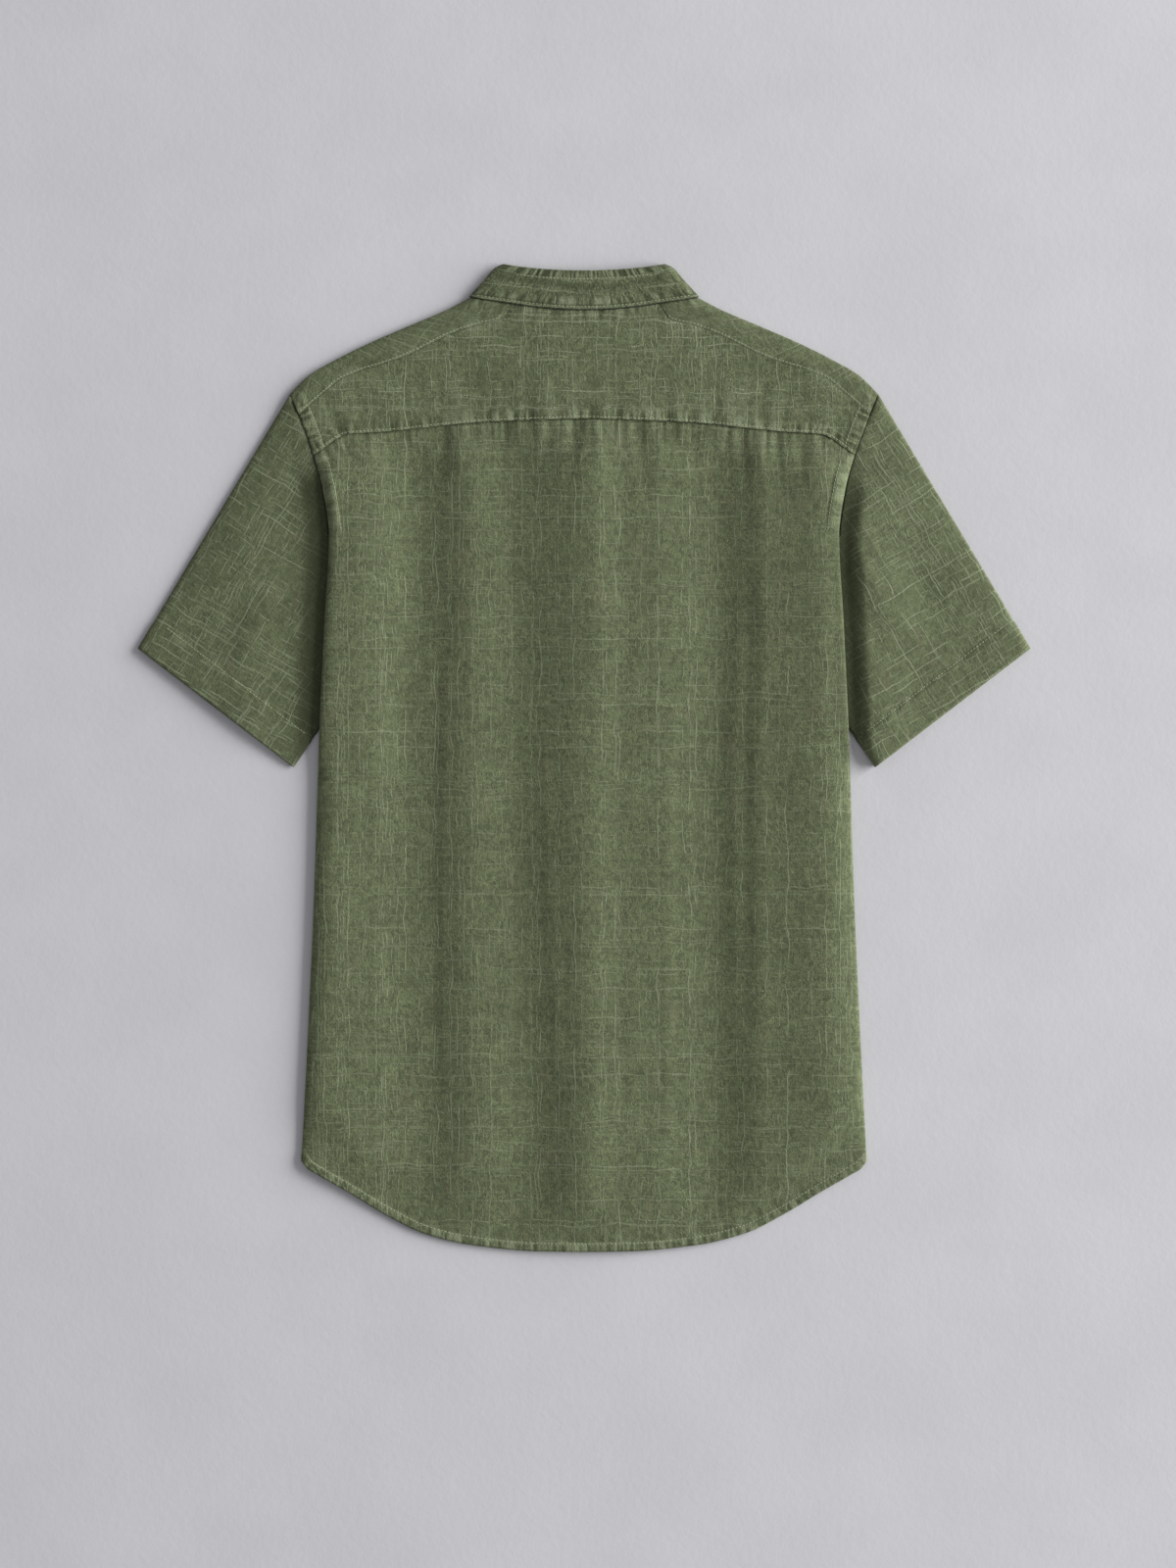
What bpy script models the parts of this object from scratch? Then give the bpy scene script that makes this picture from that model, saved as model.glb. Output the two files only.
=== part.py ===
"""A short-sleeved mandarin collar shirt, laid flat with its front down.

Metres, +Z up, the surface it lies on at z = 0, +Y towards the collar, +X to the right sleeve.
Each cut piece is the middle surface of its cloth, a loft through points worked out from the
sizes below, with Solidify giving it the cloth's thickness. Tables are in millimetres.
"""
from math import cos, pi, radians, sin, sqrt

import bmesh
import bpy
from mathutils import Vector

MM = 0.001

# ---- driving sizes, millimetres ---------------------------------------------------------
CLOTH = 1.2                # thickness of one layer of the slub cloth
COLLAR_CLOTH = 2.0         # the collar is two layers sewn as one
SEAM_GAP = 0.3             # between pieces that are sewn together
LAYER_GAP = 0.4            # between layers that lie on each other
HALF_OVERLAP = 15.0        # how far each front passes the centre line
COLLAR_END_X = 1.5         # the collar's two ends meet at the centre front
NECK_HALF = 60.0           # half of the yoke's neck edge
BUTTON_DIAMETER = 11.5
BUTTON_THICKNESS = 2.1
BUTTON_COUNT = 7
BUTTON_TOP_Y = 272.0
BUTTON_PITCH = 92.0
CENTRE_Y = -0.16           # middle of the outline along Y

FLOOR_LAYER = CLOTH / 2                          # middle of a layer that lies on the surface
SLEEVE_UPPER_UNDER_BODY = FLOOR_LAYER + CLOTH + 2 * LAYER_GAP
TUCK_OVER_SLEEVE = SLEEVE_UPPER_UNDER_BODY + CLOTH + 1.5 * LAYER_GAP
LEFT_FRONT_RISE = BUTTON_THICKNESS + LAYER_GAP   # the fronts ride over the buttons
RIGHT_FRONT_RISE = LEFT_FRONT_RISE + CLOTH + LAYER_GAP

# ---- outlines, one row a point ----------------------------------------------------------
# Armhole seam above y 180 and the body's folded side below it.
BODY_EDGE = [  # y, half_width
    (-326, 228.5), (-259, 225.0), (-117, 218.5), (17, 214.0), (108, 209.7), (180, 206.0),
    (216, 210.7), (245, 218.5), (265, 225.4), (280, 231.5), (294, 237.5),
]
BACK_HEM = [  # x, y
    (0, -399.5), (38, -399), (91, -394), (130, -384.6), (160, -370), (191.5, -351),
    (215.7, -337), (224, -332), (228.5, -326),
]
YOKE_SEAM = [  # x, y
    (0, 273.8), (82, 270.8), (162, 263), (192, 261), (201, 257), (211, 249.5), (218.5, 245),
]
SHOULDER_FOLD = [  # x, y
    (92.5, 371.6), (111, 362), (144, 348), (176, 334), (204.5, 319.6), (221, 310),
    (231.5, 300.5), (237.5, 294),
]
SHOULDER_SEAM = [  # x, y
    (60, 366.7), (70, 353.4), (85, 350), (106, 343), (142, 325.6), (164, 317.5),
    (180.5, 312.6), (197, 305.3), (209.7, 294.8), (219.4, 286.7), (230, 277),
]
FRONT_NECK = [  # distance along it from the centre, x, y
    (0, 0, 288), (36, 35, 293), (66, 62, 308), (95, 80, 330), (119, 89, 352), (139, 92, 370),
]
FRONT_ARMHOLE = [  # y, x
    (82, 171), (110, 172.5), (150, 178), (195, 190), (230, 205), (265, 221.5), (294, 237.5),
]
SIDE_TUCK = [  # y, how far the back is folded under
    (-326, 7), (-259, 12), (-117, 22), (-10, 31), (82, 37.5), (122, 22), (162, 8), (180, 3.4),
]
COLLAR_SIDE = [  # height up the collar's folded side, x, y
    (0, 92.5, 371.6), (0.5, 79.5, 386), (0.8, 71.5, 395), (1, 65, 398.2),
]
COLLAR_FRONT_FREE_EDGE = [  # share of the way from the centre to the side fold, x, y
    (0, 0, 319), (0.28, 22, 322), (0.5, 39, 331), (0.7, 50, 346), (0.88, 59, 370), (1, 65, 398.2),
]
CUFF_OUTER = (360.5, 88.0)
CUFF_INNER = (235.5, -7.5)

# ---- heights, middle of the layer --------------------------------------------------------
SIDE_CROWN = [  # y, height of the top layer near the side
    (-326, 4.4), (-259, 5.0), (-110, 5.2), (-25, 5.8), (0, 7.4), (20, 8.4), (42, 8.6),
    (122, 8.6), (162, 8.4), (180, 8.0), (196, 6.7), (212, 5.7), (245, 5.0), (280, 4.8),
]
ARMHOLE_HEIGHT = [  # y, height of the top layer at the armhole seam
    (180, 6.2), (196, 5.2), (212, 4.6), (245, 4.5), (280, 4.3),
]
FOLDS = [  # x, half width, height, top y, bottom y: long soft folds of the back
    (-195, 24, 0.5, 150, -330), (-148, 22, -0.9, 236, -360), (-97, 23, 1.2, 240, -385),
    (-50, 21, -1.0, 262, -390), (-6, 24, 0.5, 262, -395), (100, 25, -1.1, 250, -390),
    (163, 23, 1.1, 248, -370),
]
SHOULDER_HEIGHT = 4.9
HEM_SLOPE = 60.0           # the back comes down to its hem over this length
SIDE_ROUNDING = 20.0       # width of the rounded side, seen from above
SHOULDER_ROUNDING = 14.0
CUFF_LOFT = 4.4            # top layer of a sleeve
AIR = 2.1                  # usual gap between front and back

# ---- how finely the lofts are cut --------------------------------------------------------
EDGE_STEPS = (38.0, 20.0, 12.0, 6.5, 2.5, 0.0)        # columns near a side, from its edge
NECK_COLUMNS = 4
INNER_COLUMNS = 5
NECKLINE_COLUMNS = 6
FOLD_ANGLES = (90, 60, 30, 0)
BACK_ROWS = (245, 228, 212, 196, 180, 162, 142, 122, 102, 82, 62, 42, 20, 0, -25, -60, -110,
             -160, -210, -260, -300, -326)
TUCK_START = BACK_ROWS.index(180)
ARMPIT_ROW = BACK_ROWS.index(82)
FRONT_ARMHOLE_ROWS = (110, 138, 166, 194, 220, 244, 266, 282)
YOKE_ROWS = 5
SLEEVE_ROWS = (0, 0.05, 0.12, 0.2, 0.3, 0.42, 0.56, 0.7, 0.85, 1)
COLLAR_ROWS = (0, 0.35, 0.7, 1)


# ---- curves through tables ---------------------------------------------------------------
def along(table, at, column=1):
    """Smooth value of a table's column at a value of its first column."""
    rows = sorted(table)
    key = [row[0] for row in rows]
    val = [row[column] for row in rows]
    if at <= key[0]:
        return val[0]
    if at >= key[-1]:
        return val[-1]
    i = max(k for k in range(len(key) - 1) if key[k] <= at)
    slope = [(val[k + 1] - val[k]) / (key[k + 1] - key[k]) for k in range(len(key) - 1)]

    def tangent(k):
        if k == 0 or k == len(key) - 1:
            return slope[min(k, len(slope) - 1)]
        a, b = slope[k - 1], slope[k]
        return 2 * a * b / (a + b) if a * b > 0 else 0.0

    span = key[i + 1] - key[i]
    t = (at - key[i]) / span
    return (val[i] * (1 + 2 * t) * (1 - t) ** 2 + val[i + 1] * t * t * (3 - 2 * t)
            + span * (tangent(i) * t * (1 - t) ** 2 - tangent(i + 1) * t * t * (1 - t)))


def ease(t):
    """0 below 0, 1 above 1, smooth between."""
    t = min(max(t, 0.0), 1.0)
    return t * t * (3 - 2 * t)


def quarter(t):
    """Height of a rounded edge, 0 at the edge and 1 from t = 1 inwards."""
    t = min(max(t, 0.0), 1.0)
    return sqrt(1 - (1 - t) ** 2)


def mix(a, b, t):
    return a + (b - a) * t


def mirrored(points):
    return [Vector((-p.x, p.y, p.z)) for p in points]


# ---- the shirt's heights ------------------------------------------------------------------
def hem_y(x):
    return along(BACK_HEM, abs(x))


def side_x(y):
    return along(BODY_EDGE, y) - CLOTH / 2


def button_lift(y):
    """1 along the buttoned part of the front, 0 at the hem."""
    return ease((y + 345) / 55)


def front_middle(outward, y, rise):
    """Height of a front, by the distance from the centre line towards its own side."""
    low = max(rise - LEFT_FRONT_RISE, 0.0)
    return FLOOR_LAYER + mix(low, rise, button_lift(y)) * (1 - ease((outward - 17) / 45))


def front_top(x, y):
    return front_middle(abs(x), y, RIGHT_FRONT_RISE) + CLOTH / 2


def fold_height(x, y):
    total = 0.0
    for fold_x, half, height, top, bottom in FOLDS:
        window = ease((top - y) / 70) * ease((y - bottom) / 60)
        total += height * window * max(0.0, cos(min(abs(x - fold_x) / half, 1) * pi / 2)) ** 2
    return total


def top_height(x, y, edge_y, from_edge):
    """Middle of the top layer, from_edge millimetres inside the side of its row."""
    crown = along(SIDE_CROWN, edge_y)
    edge = side_height(edge_y)
    plateau = front_top(x, y) + CLOTH / 2 + AIR + fold_height(x, y)
    hem_share = ease((y - hem_y(x)) / HEM_SLOPE)
    low = front_top(x, y) + CLOTH / 2 + LAYER_GAP + 0.4
    plateau = mix(low, plateau, hem_share)
    height = mix(crown, plateau, ease((from_edge - SIDE_ROUNDING) / 50))
    return mix(edge, height, quarter(from_edge / SIDE_ROUNDING))


def tuck_height(x, y):
    """Middle of the back's folded-under side, which rises over the sleeve beneath it."""
    sleeve_edge_y = mix(82, CUFF_INNER[1], (x - 171) / (CUFF_INNER[0] - 171))
    return mix(FLOOR_LAYER, TUCK_OVER_SLEEVE, ease((y - sleeve_edge_y + 34) / 22))


def side_height(y):
    """Height of the side's outermost line: the armhole seam, or the middle of the fold."""
    if y > ARMHOLE_HEIGHT[0][0]:
        return along(ARMHOLE_HEIGHT, y)
    return (along(SIDE_CROWN, y) + tuck_height(side_x(y), y)) / 2


# ---- the lofts ----------------------------------------------------------------------------
def half_columns(width, neck):
    """Column positions from the centre to a side, dense at the side."""
    flat = width - EDGE_STEPS[0]
    inner = [neck * i / NECK_COLUMNS for i in range(NECK_COLUMNS)]
    inner += [mix(neck, flat, i / INNER_COLUMNS) for i in range(INNER_COLUMNS)]
    return inner + [width - step for step in EDGE_STEPS]


def back_row(edge_y):
    """One row of the back's top layer, from its middle to its right side."""
    width = side_x(edge_y)
    down = (BACK_ROWS[0] - edge_y) / (BACK_ROWS[0] - BACK_ROWS[-1])
    row = []
    for x in half_columns(width, NECK_HALF * width / side_x(BACK_ROWS[0]) * 1.07):
        seam = along(YOKE_SEAM, x * YOKE_SEAM[-1][0] / width) - BACK_ROWS[0]
        hem = hem_y(x * BACK_HEM[-1][0] / width) - BACK_ROWS[-1]
        y = edge_y + seam * (1 - down) ** 6 + hem * down ** 4
        row.append((x, y, width - x))
    return row


def back_rows():
    rows = []
    for edge_y in BACK_ROWS:
        right = back_row(edge_y)
        both = [(-x, y, d) for x, y, d in reversed(right[1:])] + right
        rows.append([Vector((x, y, top_height(x, y, edge_y, d))) for x, y, d in both])
    return rows


def tuck_rows():
    """The right side, from its outermost line round and under to the side seam."""
    rows = []
    for edge_y in BACK_ROWS[TUCK_START:]:
        width = side_x(edge_y)
        tuck = along(SIDE_TUCK, edge_y)
        edge = side_height(edge_y)
        radius = min(2.2, tuck)
        row = []
        for angle in reversed(FOLD_ANGLES):
            x = width - radius * (1 - cos(radians(angle)))
            under = tuck_height(x, edge_y)
            row.append(Vector((x, edge_y, mix(edge, under, sin(radians(angle))))))
        for share in (0.3, 0.65, 1):
            x = width - mix(radius, tuck, share)
            row.append(Vector((x, edge_y, tuck_height(x, edge_y))))
        rows.append(row)
    return rows


def shoulder_columns(inner_x, outer_x):
    flat = outer_x - EDGE_STEPS[0]
    return ([mix(inner_x, flat, i / INNER_COLUMNS) for i in range(INNER_COLUMNS)]
            + [outer_x - step for step in EDGE_STEPS])


def shoulder_seam_points():
    """The shoulder seam on the top layer, from the neck to the armhole."""
    points = []
    for x in shoulder_columns(SHOULDER_SEAM[0][0], SHOULDER_SEAM[-1][0]):
        points.append(Vector((x, along(SHOULDER_SEAM, x), 0)))
    return points


def shoulder_fold_points():
    """The shoulder's outline with its inward direction, from the neck to the armhole."""
    points = []
    for x in shoulder_columns(SHOULDER_FOLD[0][0], SHOULDER_FOLD[-1][0]):
        left = max(x - 4, SHOULDER_FOLD[0][0])
        right = min(x + 4, SHOULDER_FOLD[-1][0])
        slope = (along(SHOULDER_FOLD, right) - along(SHOULDER_FOLD, left)) / (right - left)
        inward = Vector((slope, -1, 0)).normalized()
        points.append((Vector((x, along(SHOULDER_FOLD, x), 0)) + inward * CLOTH / 2, inward))
    return points


def shoulder_top(x, y):
    """Height of the shoulder's top layer away from its edges."""
    return max(front_top(x, y) + CLOTH / 2 + AIR, SHOULDER_HEIGHT)


def shoulder_strip():
    """The right front's wrap over the shoulder: rows from the floor to the shoulder seam."""
    rows = []
    seam = shoulder_seam_points()
    fold = shoulder_fold_points()
    radius = (SHOULDER_HEIGHT - FLOOR_LAYER) / 2
    middle = FLOOR_LAYER + radius
    for angle in FOLD_ANGLES:
        row = []
        for point, inward in fold:
            p = point + inward * radius * (1 - cos(radians(angle)))
            p.z = middle - radius * sin(radians(angle))
            row.append(p)
        rows.append(row)
    for step in (1.2, 4.5, 9, SHOULDER_ROUNDING):
        row = []
        for (point, inward), end in zip(fold, seam):
            p = point + (end - point).normalized() * step
            p.z = mix(middle, shoulder_end_height(end), quarter(step / SHOULDER_ROUNDING))
            row.append(p)
        rows.append(row)
    rows.append([Vector((p.x, p.y, shoulder_end_height(p))) for p in seam])
    return rows


def shoulder_end_height(p):
    """Height of the top layer at the shoulder seam; it dips to the armhole."""
    from_armhole = SHOULDER_SEAM[-1][0] - p.x
    dip = mix(side_height(p.y), SHOULDER_HEIGHT, quarter(from_armhole / SIDE_ROUNDING))
    return mix(dip, shoulder_top(p.x, p.y), ease((from_armhole - SIDE_ROUNDING) / 50))


def yoke_rows():
    """The yoke's top layer, from the yoke seam to the neck and shoulder seams."""
    right_bottom = back_row(BACK_ROWS[0])
    neck = [Vector((NECK_HALF * i / NECK_COLUMNS, 0, 0)) for i in range(NECK_COLUMNS)]
    for p in neck:
        p.y = neck_seam_y(p.x)
    seam = shoulder_seam_points()
    right_top = neck + [Vector((p.x, p.y - SEAM_GAP * 1.1, 0)) for p in seam]
    rows = []
    for i in range(YOKE_ROWS + 1):
        t = i / YOKE_ROWS
        right = []
        for (x, y, d), top in zip(right_bottom, right_top):
            px = mix(x, top.x, t)
            py = mix(y + SEAM_GAP, top.y, t)
            if d == 0:
                px = along(BODY_EDGE, py) - CLOTH / 2
            from_armhole = mix(d, SHOULDER_SEAM[-1][0] - top.x, t)
            edge = side_height(py)
            crown = along(SIDE_CROWN, py)
            height = mix(crown, shoulder_top(px, py), ease((from_armhole - SIDE_ROUNDING) / 50))
            right.append(Vector((px, py, mix(edge, height, quarter(from_armhole / SIDE_ROUNDING)))))
        rows.append(mirrored(reversed(right[1:])) + right)
    return rows


def neck_seam_y(x):
    return 361.4 + 11.5 * (x / 88) ** 2


def front_rows(rise):
    """A front on the floor, from its hem to the neckline and the shoulder's fold."""
    fold = shoulder_strip()[0]
    length = FRONT_NECK[-1][0]
    top = [Vector((-HALF_OVERLAP, along(FRONT_NECK, HALF_OVERLAP, 2), 0))]
    for i in range(1, NECKLINE_COLUMNS):
        s = length * i / NECKLINE_COLUMNS
        top.append(Vector((along(FRONT_NECK, s, 1), along(FRONT_NECK, s, 2), 0)))
    top += fold
    side = []
    for y in reversed(BACK_ROWS[ARMPIT_ROW:]):
        x = side_x(y) - along(SIDE_TUCK, y) - SEAM_GAP
        side.append(Vector((x, y, 0)))
    for y in FRONT_ARMHOLE_ROWS:
        side.append(Vector((along(FRONT_ARMHOLE, y), y, 0)))
    side.append(fold[-1])
    columns, levels = len(top) - 1, len(side) - 1
    bottom = []
    for j in range(columns + 1):
        x = mix(-HALF_OVERLAP, side[0].x, j / columns)
        shift = mix(6, side[0].y - BACK_HEM[-1][1], ease((x - 120) / 100))
        bottom.append(Vector((x, hem_y(x * BACK_HEM[-1][0] / side[0].x) + shift, 0)))
    centre = [Vector((-HALF_OVERLAP, mix(bottom[0].y, top[0].y, i / levels), 0))
              for i in range(levels + 1)]
    rows = []
    for i in range(levels + 1):
        v = i / levels
        row = []
        for j in range(columns + 1):
            u = j / columns
            corner = mix(mix(bottom[0], bottom[-1], u), mix(top[0], top[-1], u), v)
            p = mix(bottom[j], top[j], v) + mix(centre[i], side[i], u) - corner
            p.z = front_middle(p.x, p.y, rise)
            row.append(p)
        rows.append(row)
    return rows


def sleeve_seam(front, strip, yoke, tuck, back):
    """The armhole as the sleeve meets it: (point, share of the width, layer) round the ring.

    It starts at the shoulder's fold, follows the top layer to the armpit, and comes back on
    the floor. The share is 0 at the outer fold and 1 at the inner one."""
    upper = [row[-1] for row in strip[3:]]
    upper += [row[-1] for row in reversed(yoke)][1:]
    upper += [row[-1] for row in back[1:TUCK_START + 1]]
    hidden = [row[-1] for row in tuck[1:ARMPIT_ROW - TUCK_START + 1]]
    lower = [row[-1] for row in front[-1 - len(FRONT_ARMHOLE_ROWS) - 1:]]
    lower += [row[-1] for row in strip[1:3]]
    seam = []
    for p in upper:
        out = armhole_outward(p.y)
        low = ease((216 - p.y) / 34)
        z = mix(p.z, SLEEVE_UPPER_UNDER_BODY, low)
        seam.append((Vector((p.x, p.y, z)) + out * (SEAM_GAP + 0.9 * low), 1))
    for p in hidden:
        seam.append((Vector((p.x, p.y, SLEEVE_UPPER_UNDER_BODY)), 1))
    near_armpit = seam.pop()[0]
    before = seam[-1][0]
    for distance in (12, 5, 2.2):
        seam.append((mix(near_armpit, before, distance / (before - near_armpit).length), 1))
    seam_end = len(seam)
    turn = (SLEEVE_UPPER_UNDER_BODY + FLOOR_LAYER) / 2
    armpit = lower[0]
    seam.append((Vector((near_armpit.x + 1.2, near_armpit.y - 0.2, turn)), 0))
    first = lower[1]
    for distance in (2.2, 6):
        seam.append((mix(armpit, first, distance / (first - armpit).length), -1))
    for p in lower[1:]:
        seam.append((p.copy(), -1))
    for p, layer in seam[seam_end + 1:]:
        clear_of_corner = 0.8 * ease(1 - (p.y - armpit.y) / 12)
        p += armhole_outward(p.y) * (SEAM_GAP * 1.3 + clear_of_corner)
    return with_shares(seam, seam_end)


def with_shares(seam, fold_index):
    """Add each point's share of the sleeve's width, measured along its own layer."""
    def lengths(points):
        total = [0.0]
        for a, b in zip(points, points[1:]):
            total.append(total[-1] + (Vector((b.x, b.y)) - Vector((a.x, a.y))).length)
        return [t / total[-1] for t in total]

    points = [p for p, layer in seam]
    upper = lengths(points[:fold_index + 1])
    lower = lengths(points[fold_index:] + points[:1])
    shares = upper + [1 - t for t in lower[1:-1]]
    return [(p, share, layer) for (p, layer), share in zip(seam, shares)]


def armhole_outward(y):
    """Level direction from the body into the sleeve, square to the armhole seam."""
    slope = (along(BODY_EDGE, y + 3) - along(BODY_EDGE, y - 3)) / 6
    return Vector((1, -slope, 0)).normalized()


def sleeve_rows(seam):
    """The right sleeve, a flattened tube from the armhole to the cuff."""
    outer = Vector((*CUFF_OUTER, 0))
    inner = Vector((*CUFF_INNER, 0))
    rows = []
    for v in SLEEVE_ROWS:
        row = []
        for start, share, layer in seam:
            p = mix(start, mix(outer, inner, share), v)
            p.z = mix(start.z, sleeve_height(p, share, layer, v), ease(v / 0.12))
            row.append(p)
        rows.append(row + [row[0]])
    return rows


def sleeve_height(p, share, layer, v):
    """Height of a sleeve layer; near the body its top layer dives under the body's side."""
    beyond = p.x - side_x(p.y)
    free = ease((beyond - 6) / 18 + max(0.0, (p.y - 185) / 35))
    crown = mix(SLEEVE_UPPER_UNDER_BODY, CUFF_LOFT, free)
    crown += 0.5 * sin(pi * share) * sin(pi * min(v * 1.3, 1)) * free
    middle = (crown + FLOOR_LAYER) / 2
    if layer > 0:
        return mix(middle, crown, quarter(min(share / 0.058, (1 - share) / 0.05)))
    if layer < 0:
        return mix(middle, FLOOR_LAYER, quarter(min(share, 1 - share) / 0.0092))
    return middle


def collar_line(yoke, strip, front):
    """Right half of the collar's seam line, from the centre back round to the centre front.

    Returns the points and the index of the one on the side fold."""
    half = len(yoke[-1]) // 2
    neck = yoke[-1][half:half + NECK_COLUMNS]
    neck += [strip[i][0] for i in (8, 7, 6, 5, 3, 0)]
    fold = len(neck) - 2
    neckline = front[-1][:NECKLINE_COLUMNS]
    neck += reversed(neckline[1:])
    share = (neckline[1].x - COLLAR_END_X) / (neckline[1].x - neckline[0].x)
    neck.append(mix(neckline[1], neckline[0], share))
    line = []
    for k, p in enumerate(neck):
        away = Vector((0, 0, 0))
        if k > 0:
            away += beside(neck[k - 1], p, k > fold)
        if k + 1 < len(neck):
            away += beside(p, neck[k + 1], k >= fold)
        thicker = Vector((0, 0, COLLAR_CLOTH / 2 - FLOOR_LAYER))
        gap = SEAM_GAP * 1.4 + 0.6 * max(0.0, 1 - abs(k - fold) / 2)
        line.append(p + away.normalized() * gap + thicker)
    return line, fold


def beside(a, b, under):
    """Level direction square to a neck edge, towards the collar."""
    run = Vector((b.x - a.x, b.y - a.y, 0)).normalized()
    return Vector((run.y, -run.x, 0)) if under else Vector((-run.y, run.x, 0))


def collar_rows(line, turn):
    """Right half of the collar, one row a line of equal height up the band."""
    free = []
    under = turn + 1
    for k, p in enumerate(line):
        if k <= turn:
            x = COLLAR_SIDE[-1][1] * (p.x / line[turn].x)
            free.append(Vector((x, 393.3 + 5.0 * (x / 65) ** 2, p.z + 0.3)))
        elif k <= under:
            free.append(Vector((COLLAR_SIDE[-1][1] + (p.x - line[turn].x), 398.3, p.z)))
        else:
            share = (len(line) - 1 - k) / (len(line) - 1 - under)
            x = max(along(COLLAR_FRONT_FREE_EDGE, share, 1), COLLAR_END_X)
            free.append(Vector((x, along(COLLAR_FRONT_FREE_EDGE, share, 2), p.z)))
    rows = []
    for h in COLLAR_ROWS:
        row = [mix(low, high, h) for low, high in zip(line, free)]
        bow_x = along(COLLAR_SIDE, h, 1) - mix(COLLAR_SIDE[0][1], COLLAR_SIDE[-1][1], h)
        bow_y = along(COLLAR_SIDE, h, 2) - mix(COLLAR_SIDE[0][2], COLLAR_SIDE[-1][2], h)
        for k, p in enumerate(row):
            near = ease(1 - abs(k - turn) / 5)
            p.x += bow_x * near
            p.y += bow_y * near
        rows.append(row)
    return rows


# ---- objects -------------------------------------------------------------------------------
def cloth_material(name, colour):
    material = bpy.data.materials.new(name)
    material.use_nodes = True
    shader = material.node_tree.nodes["Principled BSDF"]
    shader.inputs["Base Color"].default_value = (*colour, 1)
    shader.inputs["Roughness"].default_value = 0.9
    shader.inputs["Metallic"].default_value = 0.0
    return material


def in_metres(p):
    return Vector((p.x, p.y - CENTRE_Y, p.z)) * MM


def sheet(name, lofts, thickness, material, collection):
    """One cut piece: lofts of middle-surface points, welded where they share points."""
    bm = bmesh.new()
    for rows in lofts:
        verts = [[bm.verts.new(in_metres(p)) for p in row] for row in rows]
        for low, high in zip(verts, verts[1:]):
            for a, b, c, d in zip(low, low[1:], high[1:], high):
                bm.faces.new((a, b, c, d))
    bmesh.ops.remove_doubles(bm, verts=bm.verts, dist=0.00002)
    bmesh.ops.recalc_face_normals(bm, faces=bm.faces)
    mesh = bpy.data.meshes.new(name)
    bm.to_mesh(mesh)
    bm.free()
    mesh.materials.append(material)
    mesh.shade_smooth()
    piece = bpy.data.objects.new(name, mesh)
    collection.objects.link(piece)
    solid = piece.modifiers.new("cloth thickness", "SOLIDIFY")
    solid.thickness = thickness * MM
    solid.offset = 0
    solid.use_even_offset = True
    solid.use_quality_normals = True
    return piece


def button(name, y, material, collection):
    """A round button lying on the surface, dished on the side that faces down."""
    profile = [(0, 0.55), (0.3, 0.55), (0.36, 0), (0.47, 0), (0.5, 0.25), (0.5, 0.8), (0.44, 1), (0, 1)]
    bm = bmesh.new()
    verts = []
    for radius, height in profile:
        verts.append(bm.verts.new((radius * BUTTON_DIAMETER * MM, 0, height * BUTTON_THICKNESS * MM)))
    for a, b in zip(verts, verts[1:]):
        bm.edges.new((a, b))
    mesh = bpy.data.meshes.new(name)
    bm.to_mesh(mesh)
    bm.free()
    mesh.materials.append(material)
    piece = bpy.data.objects.new(name, mesh)
    collection.objects.link(piece)
    piece.location = in_metres(Vector((0, y, 0)))
    screw = piece.modifiers.new("turned", "SCREW")
    screw.steps = 14
    screw.render_steps = 14
    screw.use_merge_vertices = True
    screw.merge_threshold = 0.00001
    screw.use_normal_calculate = True
    return piece


def build():
    for old in list(bpy.data.objects):
        bpy.data.objects.remove(old)
    shirt = bpy.data.collections.new("mandarin_collar_shirt")
    bpy.context.scene.collection.children.link(shirt)
    linen = cloth_material("slub_linen", (0.122, 0.145, 0.083))
    shell = cloth_material("button_shell", (0.085, 0.095, 0.06))
    shell.node_tree.nodes["Principled BSDF"].inputs["Roughness"].default_value = 0.35

    back, tuck, yoke, strip = back_rows(), tuck_rows(), yoke_rows(), shoulder_strip()
    left_tuck = [mirrored(row) for row in tuck]
    sheet("back_panel", [back, tuck, left_tuck], CLOTH, linen, shirt)
    sheet("yoke", [yoke], CLOTH, linen, shirt)

    right_front, left_front = front_rows(RIGHT_FRONT_RISE), front_rows(LEFT_FRONT_RISE)
    sheet("front_right", [right_front, strip], CLOTH, linen, shirt)
    left_parts = [[mirrored(row) for row in rows] for rows in (left_front, strip)]
    sheet("front_left", left_parts, CLOTH, linen, shirt)

    sleeve = sleeve_rows(sleeve_seam(right_front, strip, yoke, tuck, back))
    sheet("sleeve_right", [sleeve], CLOTH, linen, shirt)
    sheet("sleeve_left", [[mirrored(row) for row in sleeve]], CLOTH, linen, shirt)

    right_collar = collar_rows(*collar_line(yoke, strip, right_front))
    left_collar = collar_rows(*collar_line(yoke, strip, left_front))
    band = [mirrored(reversed(left[1:])) + right for left, right in zip(left_collar, right_collar)]
    sheet("collar_band", [band], COLLAR_CLOTH, linen, shirt)

    for k in range(BUTTON_COUNT):
        button(f"button_{k + 1}", BUTTON_TOP_Y - BUTTON_PITCH * k, shell, shirt)


build()
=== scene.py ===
"""A short-sleeved mandarin collar shirt of slub linen, laid flat with its front down.

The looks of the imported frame. Cloth is worked out in millimetres as grids of points, in the
frame's own axes: +Z up, +Y towards the collar, +X to the right sleeve.
"""
from math import radians

import bmesh
import bpy
import numpy as np
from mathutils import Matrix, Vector
from mathutils.bvhtree import BVHTree


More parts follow.
